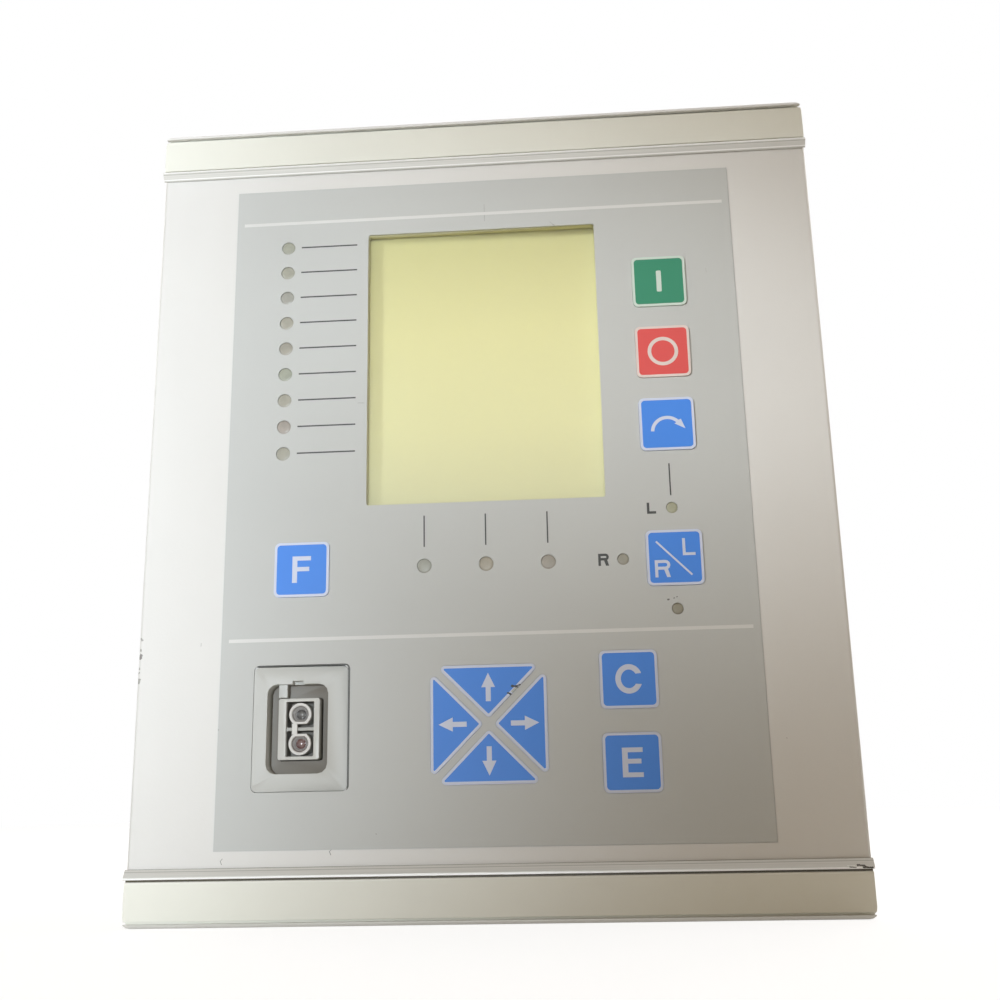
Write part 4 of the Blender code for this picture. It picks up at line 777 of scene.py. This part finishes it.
lens_finish, tree, shader = finish_of("lamp_lens", roughness=0.40, Coat_Weight=0.15,
                                      Coat_Roughness=0.2)
cloudy = ranged(tree, noise(tree, place_on(tree), 420.0, 4.0), 0.3, 0.7, 0.90, 1.10)
own = put(tree, "Attribute", attribute_name="tint").outputs["Color"]
tree.links.new(vector(tree, "SCALE", own, cloudy), shader.inputs["Base Color"])
pipe_plastic = pebbled("light_pipe", (0.40, 0.40, 0.34), 0.06, 0.30, 0.04, 900)
POLE_POINT = 1e-7


def lathed(bm, x, z, profile, steps):
    """Turn a profile of (radius, y) about a line along Y and close its seam and poles."""
    line = [bm.verts.new((x + r, y, z)) for r, y in profile]
    edges = [bm.edges.new(pair) for pair in zip(line, line[1:])]
    bmesh.ops.spin(bm, geom=line + edges, cent=(x, 0, z), axis=(0, 1, 0), angle=math.tau,
                   steps=steps, use_merge=True)


def spun(name, spots, profile, finish, steps=40):
    """Round parts that look out of the face."""
    bm = bmesh.new()
    for x, z in spots:
        lathed(bm, x, z, profile, steps)
    closed(bm, POLE_POINT)
    return placed(name, mesh_of(bm, name), [finish], sharp=math.radians(38))


def lenses(name, spots, window, tints):
    """Flat lenses that just clear their windows, each with the colour that it has aged to."""
    radius = window - 0.00008
    tip = FILM_Y + 0.00010
    profile = [(0, tip), (radius * 0.6, tip + 0.00003), (radius * 0.86, tip + 0.00010),
               (radius, tip + 0.00026), (radius, tip + 0.0018), (0, tip + 0.0018)]
    piece = spun(name, spots, profile, lens_finish)
    layer = piece.data.color_attributes.new("tint", "FLOAT_COLOR", "POINT")
    for point, value in zip(piece.data.vertices, layer.data):
        near = [math.dist((point.co.x, point.co.z), spot) for spot in spots]
        value.color = (*tints[near.index(min(near))], 1)


lenses("alarm_lenses", ALARM_SPOTS, LAMP_WINDOW,
       [(0.370, 0.375, 0.310), (0.400, 0.395, 0.330), (0.375, 0.370, 0.330),
        (0.405, 0.390, 0.330), (0.395, 0.375, 0.320), (0.375, 0.390, 0.320),
        (0.395, 0.380, 0.320), (0.410, 0.370, 0.330), (0.390, 0.380, 0.320)])
lenses("status_lenses", STATUS_SPOTS, LAMP_WINDOW,
       [(0.390, 0.395, 0.350), (0.430, 0.395, 0.320), (0.390, 0.360, 0.310)])
lenses("mode_lenses", MODE_SPOTS, SMALL_WINDOW,
       [(0.415, 0.410, 0.293), (0.345, 0.328, 0.270), (0.288, 0.267, 0.200)])
dress(pipe_plastic, "alarm_lamps", "status_lamps", "local_lamp", "remote_lamp", "logic_lamp")


# optical port
# A pale moulding whose face slopes into the film, with a keyed pocket.  In the pocket stands
# a square tower with two round sockets for a plastic-fibre plug.

# From this depth down to the pocket's floor the port's plastics are painted darker: dust and
# painted shade.
POCKET_UNSHADED_Y, POCKET_FLOOR_Y = -0.1125, -0.1089


def dusted_and_shaded(name, colour, roughness, floor_shade):
    """Moulded plastic painted darker towards the floor of the pocket, with dust and painted
    shade: floor_shade is the tint that its colour takes there."""
    made = pebbled(name, colour, 0.015, roughness, 0.10, 1800.0)
    tree = made.node_tree
    depth = put(tree, "SeparateXYZ", {0: place_on(tree)})
    sunk = ranged(tree, depth.outputs[1], POCKET_UNSHADED_Y, POCKET_FLOOR_Y,
                  interpolation_type="SMOOTHSTEP")
    covered(made, sunk, [a * b for a, b in zip(colour, floor_shade)])
    return made


port_plastic = dusted_and_shaded("port_plastic", (0.59, 0.595, 0.57), 0.42, (0.33, 0.29, 0.245))
tower_plastic = dusted_and_shaded("tower_plastic", (0.68, 0.68, 0.65), 0.38, (0.22, 0.20, 0.17))
socket_plastic = dusted_and_shaded("socket_plastic", (0.80, 0.79, 0.77), 0.30, (0.40, 0.37, 0.33))
cup_plastic = pebbled("smoky_cup", (0.36, 0.35, 0.34), 0.30, 0.10, 0.05, 1800,
                      Coat_Weight=1.0, Coat_Roughness=0.06)
softened("port_surround", 0.00018, port_plastic, 3)
softened("port_housing", 0.00016, tower_plastic, 3)

SOCKET_R = 0.00355
SOCKET_FLAT = 0.0030
SOCKET_RISE = 0.0045
CUP_R = 0.0027
LENS_IN = 0.00125
TOWER_X = centre_of("port_transmitter")[0]
SOCKET_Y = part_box("port_transmitter")[0].y

# Each socket from the bore at its lens over a step and a cup to its rounded front edge, and
# back along its outside, which has a flat.
levels = ((0.0017, 0.0020), (0.00195, 0.0014), (0.0023, 0.0012), (0.0026, 0.0003),
          (0.0028, 0.0), (SOCKET_R - 0.00015, 0.0), (SOCKET_R, 0.00015), (SOCKET_R, 0.0068))
start = math.degrees(math.acos(SOCKET_FLAT / SOCKET_R))
outline = fan(0, 0, 1, -90 + start, 270 - start, 56)
for node, glass, dark, pale in (
        ("port_receiver", "receiver_lens", (0.035, 0.035, 0.035), (0.17, 0.16, 0.15)),
        ("port_transmitter", "transmitter_lens", (0.10, 0.035, 0.035), (0.26, 0.15, 0.13))):
    lens, tree, shader = finish_of(glass, roughness=0.04, Coat_Weight=1.0, Coat_Roughness=0.05)
    ramp = ramp_of(tree, noise(tree, place_on(tree), 900.0, 3.0), dark, pale)
    tree.links.new(ramp.outputs[0], shader.inputs["Base Color"])

    x, z = TOWER_X, NAV_Z + SOCKET_RISE
    bm = bmesh.new()
    rings = []
    for radius, depth in levels:
        loop = [bm.verts.new((x + u * radius, SOCKET_Y + depth, z + v * radius))
                for u, v in outline]
        rings.append([bm.edges.new((loop[i - 1], loop[i])) for i in range(len(loop))])
    for first, second in zip(rings, rings[1:]):
        bmesh.ops.bridge_loops(bm, edges=first + second)
    bmesh.ops.contextual_create(bm, geom=rings[0])
    bmesh.ops.contextual_create(bm, geom=rings[-1])
    bmesh.ops.recalc_face_normals(bm, faces=bm.faces)
    for face in bm.faces:
        reach = max(math.hypot(v.co.x - x, v.co.z - z) for v in face.verts)
        face.material_index = 1 if reach < CUP_R else 0
    # The lower socket is the upper one turned round.
    if node == "port_transmitter":
        bmesh.ops.rotate(bm, cent=(x, 0, z), matrix=Matrix.Rotation(math.pi, 3, "Y"),
                         verts=bm.verts)
        bmesh.ops.translate(bm, vec=(0, 0, -2 * SOCKET_RISE), verts=bm.verts)
        z -= 2 * SOCKET_RISE
    piece = placed(node + "_socket", mesh_of(bm, node + "_socket"),
                   [socket_plastic, cup_plastic])
    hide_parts(node)
    front = SOCKET_Y + LENS_IN
    spun(node + "_lens", [(x, z)], [(0, front), (0.0006, front + 0.00008),
                                    (0.0012, front + 0.00034), (0.0016, front + 0.00075),
                                    (0, front + 0.00075)], lens)

TAB_LEFT, TAB_W, TAB_HALF = TOWER_X - 0.0017 - 0.0008, 0.0016, 0.00165
sheet_from("socket_tab", [[(TAB_LEFT, NAV_Z - TAB_HALF), (TAB_LEFT + TAB_W, NAV_Z - TAB_HALF),
                           (TAB_LEFT + TAB_W, NAV_Z + TAB_HALF),
                           (TAB_LEFT, NAV_Z + TAB_HALF)]], SOCKET_Y, 0.0010, socket_plastic)


# case
# Folded zinc-plated sheet: a body and a cover whose sides are turned down inside it.  The
# plating shows a faint drawn grain and a little white bloom.

zinc = surfaced("zinc_plate", grain, (0.56, 0.57, 0.565), 0.06, 0.40, 0.06, (900, 26, 900),
                metallic=0.85)
tree = zinc.node_tree
bloom = noise(tree, place_on(tree), 34.0, 8.0, 0.65)
covered(zinc, ranged(tree, bloom, 0.52, 0.75, 0.0, 0.30), (0.72, 0.72, 0.70))
for name in ("case_body", "case_cover"):
    softened(name, 0, zinc)


# screws
# Zinc-plated pan-head screws with a cross recess: four hold each slot plate's ends, and a row
# along each side holds the cover.

bright_steel = pebbled("bright_steel", (0.60, 0.60, 0.59), 0.06, 0.30, 0.05, 900, metallic=0.95)


def block(bm, size):
    """A cuboid of this size about the origin."""
    made = bmesh.ops.create_cube(bm, size=1.0)["verts"]
    bmesh.ops.scale(bm, vec=size, verts=made)
    return made


def with_recess(name, radius, rise, cross):
    """One screw head that looks along -Y, with a slot or a cross cut into it."""
    bm = bmesh.new()
    lathed(bm, 0, 0, [(0, -rise), (radius * 0.55, -rise * 0.96),
                      (radius * 0.85, -rise * 0.75), (radius, -rise * 0.35), (radius, 0.0),
                      (0, 0.0)], 16)
    closed(bm, POLE_POINT)
    head = linked(name, mesh_of(bm, name))
    bm = bmesh.new()
    long, thin = (0.55, 0.13) if cross else (1.1, 0.15)
    for wide, high in ((long, thin), (thin, long))[:2 if cross else 1]:
        made = block(bm, (2 * radius * wide, rise * 1.2, 2 * radius * high))
        bmesh.ops.translate(bm, vec=(0, -rise, 0), verts=made)
    cutter = linked(name + "_recess", mesh_of(bm, name + "_recess"))
    bite = head.modifiers.new("recess", "BOOLEAN")
    bite.operation = "DIFFERENCE"
    bite.solver = "EXACT"
    bite.use_self = True
    bite.object = cutter
    return baked(head, cutter)


def repeated(name, mesh, places, finish=bright_steel):
    """Copies of a small metal part in one piece; each place is a matrix."""
    bm = bmesh.new()
    for place in places:
        copy = mesh.copy()
        copy.transform(place)
        bm.from_mesh(copy)
        bpy.data.meshes.remove(copy)
    placed(name, mesh_of(bm, name), [finish], sharp=math.radians(35))


def rear_facing(x, y, z, turn=0.0):
    """Where a head that looks along -Y goes when it sits on the relay's back."""
    return (Matrix.Translation((x, y, z)) @ Matrix.Rotation(math.pi, 4, "Z")
            @ Matrix.Rotation(turn, 4, "Y"))


JUST_CLEAR = 0.00002
PLATE_SCREW_IN, PLATE_SCREW_SIDE, WIDE_PLATE = 0.0062, 0.008, 0.05
places = []
for i, name in enumerate(("input_slot_plate", "cpu_slot_plate", "power_slot_plate",
                          "io_slot_plate", "spare_slot_plate")):
    softened(name, 0.00012, zinc)
    low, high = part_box(name)
    columns = (low.x + PLATE_SCREW_SIDE, high.x - PLATE_SCREW_SIDE)
    if high.x - low.x <= WIDE_PLATE:
        columns = ((low.x + high.x) / 2,)
    places += [rear_facing(x, high.y + JUST_CLEAR, z, 0.7 * i + 40 * z) for x in columns
               for z in (low.z + PLATE_SCREW_IN, high.z - PLATE_SCREW_IN)]
repeated("slot_plate_screws", with_recess("cross_head", 0.0029, 0.0019, True), places)

COVER_SCREW_IN, COVER_SCREW_UP = 0.022, 0.0070
case_low, case_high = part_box("case_body")
cover_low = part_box("case_cover")[0]
places = [Matrix.Translation((x, y, cover_low.z + COVER_SCREW_UP))
          @ Matrix.Rotation(math.radians(turn), 4, "Z") @ Matrix.Rotation(y * 50, 4, "Y")
          for x, turn in ((case_low.x, -90), (case_high.x, 90))
          for y in (case_low.y + COVER_SCREW_IN, (case_low.y + case_high.y) / 2,
                    case_high.y - COVER_SCREW_IN)]
repeated("cover_screws", with_recess("side_screw", 0.0024, 0.0012, True), places)


# input terminals
# A black block with a cell for each ring lug of the measuring circuits: a slotted screw over
# a square brass washer in every cell.

softened("input_terminal_block", 0.00015, black_plastic)
brass = pebbled("plated_brass", (0.62, 0.53, 0.33), 0.08, 0.34, 0.06, 900, metallic=0.9)
block_x, block_z = centre_of("input_terminal_block")
LUG_PITCH, LUG_COLUMN, LUG_ROWS, LUG_DEEP, WASHER = 0.0100, 0.0200, 13, 0.0038, 0.0008
cell_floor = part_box("input_terminal_block")[1].y - LUG_DEEP
bm = bmesh.new()
block(bm, (0.0072, WASHER, 0.0070))
bmesh.ops.bevel(bm, geom=bm.edges, offset=0.00018, offset_type="OFFSET", segments=2,
                profile=0.5, affect="EDGES", material=-1)
cells = [(block_x + side * LUG_COLUMN / 2, block_z + (i - (LUG_ROWS - 1) / 2) * LUG_PITCH)
         for side in (-1, 1) for i in range(LUG_ROWS)]
repeated("lug_washers", mesh_of(bm, "washer"),
         [Matrix.Translation((x, cell_floor + WASHER / 2, z)) for x, z in cells], brass)
repeated("lug_screws", with_recess("lug_screw", 0.0028, 0.0017, False),
         [rear_facing(x, cell_floor + WASHER, z, 3.1 * i + 0.4)
          for i, (x, z) in enumerate(cells)])


# plug-in terminals
# Four black plugs with slotted screws in their raised half; in the lower half each wire
# entry shows the brass cage of its clamp.

POLES, POLE_PITCH, PLUG_STEP = 18, 0.00508, 0.0060
SCREW_DEEP, CAGE_DEEP = 0.0030, 0.0050 - 0.00155
cage = bmesh.new()
block(cage, (0.0031, 0.0030, 0.0033))
mouth = [f for f in cage.faces if f.normal.y > 0.9]
bmesh.ops.inset_region(cage, faces=mouth, thickness=0.0004, depth=0.0)
grown = bmesh.ops.extrude_face_region(cage, geom=mouth)["geom"]
bmesh.ops.delete(cage, geom=mouth, context="FACES_ONLY")
bmesh.ops.translate(cage, vec=(0, -0.0024, 0),
                    verts=[g for g in grown if isinstance(g, bmesh.types.BMVert)])
bmesh.ops.recalc_face_normals(cage, faces=cage.faces)
screw_places, cage_places = [], []
for name in ("power_plug_upper", "power_plug_lower", "io_plug_upper", "io_plug_lower"):
    softened(name, 0.00015, black_plastic)
    low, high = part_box(name)
    x, z = centre_of(name)
    for i in range(POLES):
        pole = z + (i - (POLES - 1) / 2) * POLE_PITCH
        screw_places.append(rear_facing((low.x + x) / 2, high.y - SCREW_DEEP + JUST_CLEAR,
                                        pole, 2.3 * i + 0.6))
        cage_places.append(Matrix.Translation(((x + PLUG_STEP / 8 + high.x) / 2,
                                               high.y - PLUG_STEP - CAGE_DEEP, pole)))
repeated("pole_screws", with_recess("pole_screw", 0.00155, 0.0008, False), screw_places)
repeated("wire_clamps", mesh_of(cage, "clamp_cage"), cage_places, brass)


# serial sockets
# Two nine-way D sockets: a plated shell round a black insert with nine contacts, and a hex
# standoff at each end.

insert_black = pebbled("insert_black", (0.035, 0.035, 0.036), 0.05, 0.42, 0.08, 1500)
contact_gold = pebbled("contact_gold", (0.72, 0.52, 0.22), 0.05, 0.30, 0.02, 900,
                       metallic=0.95)
INSERT_HALF_W, INSERT_HALF_H = 0.0125 / 2 - 0.002 - 0.0007, 0.0310 / 2 - 0.006 - 0.0007
INSERT_SLANT, CONTACT_PITCH, CONTACT_SIDE = 0.0014, 0.00274, 0.0014
STAND_UP, STAND_IN = 0.0125, 0.0110
for name in ("service_socket", "bus_socket"):
    softened(name, 0.00015, bright_steel)
    low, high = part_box(name)
    x, z = centre_of(name)
    y = high.y
    left, right, tall = x - INSERT_HALF_W, x + INSERT_HALF_W, INSERT_HALF_H
    outline = [(left, z - tall), (right, z - tall + INSERT_SLANT),
               (right, z + tall - INSERT_SLANT), (left, z + tall)]
    sheet_from(name + "_insert", [round_points(outline, 0.0008, 4)], y - 0.0001, 0.0002,
               insert_black)
    contacts = [(x - CONTACT_SIDE, z + (i - 2) * CONTACT_PITCH) for i in range(5)]
    contacts += [(x + CONTACT_SIDE, z + (i - 1.5) * CONTACT_PITCH) for i in range(4)]
    spun(name + "_contacts", contacts, [(0.00035, y - 0.0001), (0.00035, y + 0.00016),
                                        (0.00062, y + 0.00016), (0.00062, y - 0.0001),
                                        (0.00035, y - 0.0001)],
         contact_gold, steps=12)
    stand = bmesh.new()
    for side in (-1, 1):
        centre = Matrix.Translation((x, low.y + STAND_IN, z + side * STAND_UP)) \
            @ Matrix.Rotation(math.pi / 2, 4, "X")
        for sides, radius, depth in ((6, 0.0027, 0.0046), (20, 0.0013, 0.0052)):
            bmesh.ops.create_cone(stand, cap_ends=True, segments=sides, radius1=radius,
                                  radius2=radius, depth=depth, matrix=centre)
    placed(name + "_standoffs", mesh_of(stand, name + "_standoffs"), [bright_steel],
           sharp=None)


# earth screw
# A zinc-plated hex screw under the measuring terminals takes the earth lead.  It is turned
# from bar and screwed into the back of the case.

softened("earth_screw", 0.00020, bright_steel, 3)


# inside the case
# Boards with a green solder mask, black card guides, varnished transformers and a sleeved
# capacitor.  They are closed in by the case.

mask_green, tree, shader = finish_of("solder_mask", roughness=0.35)
tracks = put(tree, "TexBrick", {"Vector": place_on(tree, scale=(260, 260, 260)),
                                "Color1": (0.022, 0.115, 0.055, 1),
                                "Color2": (0.030, 0.150, 0.072, 1),
                                "Mortar": (0.045, 0.200, 0.100, 1), "Scale": 1.0,
                                "Mortar Size": 0.02})
tree.links.new(tracks.outputs[0], shader.inputs["Base Color"])
dress(mask_green, "keypad_board", "bus_board", "input_card", "cpu_card", "power_card",
      "io_card")
dress(black_plastic, "lower_card_guide", "upper_card_guide")
varnish, tree, shader = finish_of("varnished_core", roughness=0.45, metallic=0.3)
plates = put(tree, "TexWave", {"Vector": place_on(tree, scale=(2000, 0, 0)), "Scale": 0.32},
             bands_direction="X")
ramp = ramp_of(tree, plates.outputs[0], (0.05, 0.045, 0.04), (0.19, 0.16, 0.13))
tree.links.new(ramp.outputs[0], shader.inputs["Base Color"])
dress(varnish, "power_transformer", *(f"input_transformer_{i}" for i in range(1, 6)))
dress(pebbled("dark_sleeve", (0.03, 0.04, 0.10), 0.05, 0.32, 0.04, 900), "filter_capacitor")
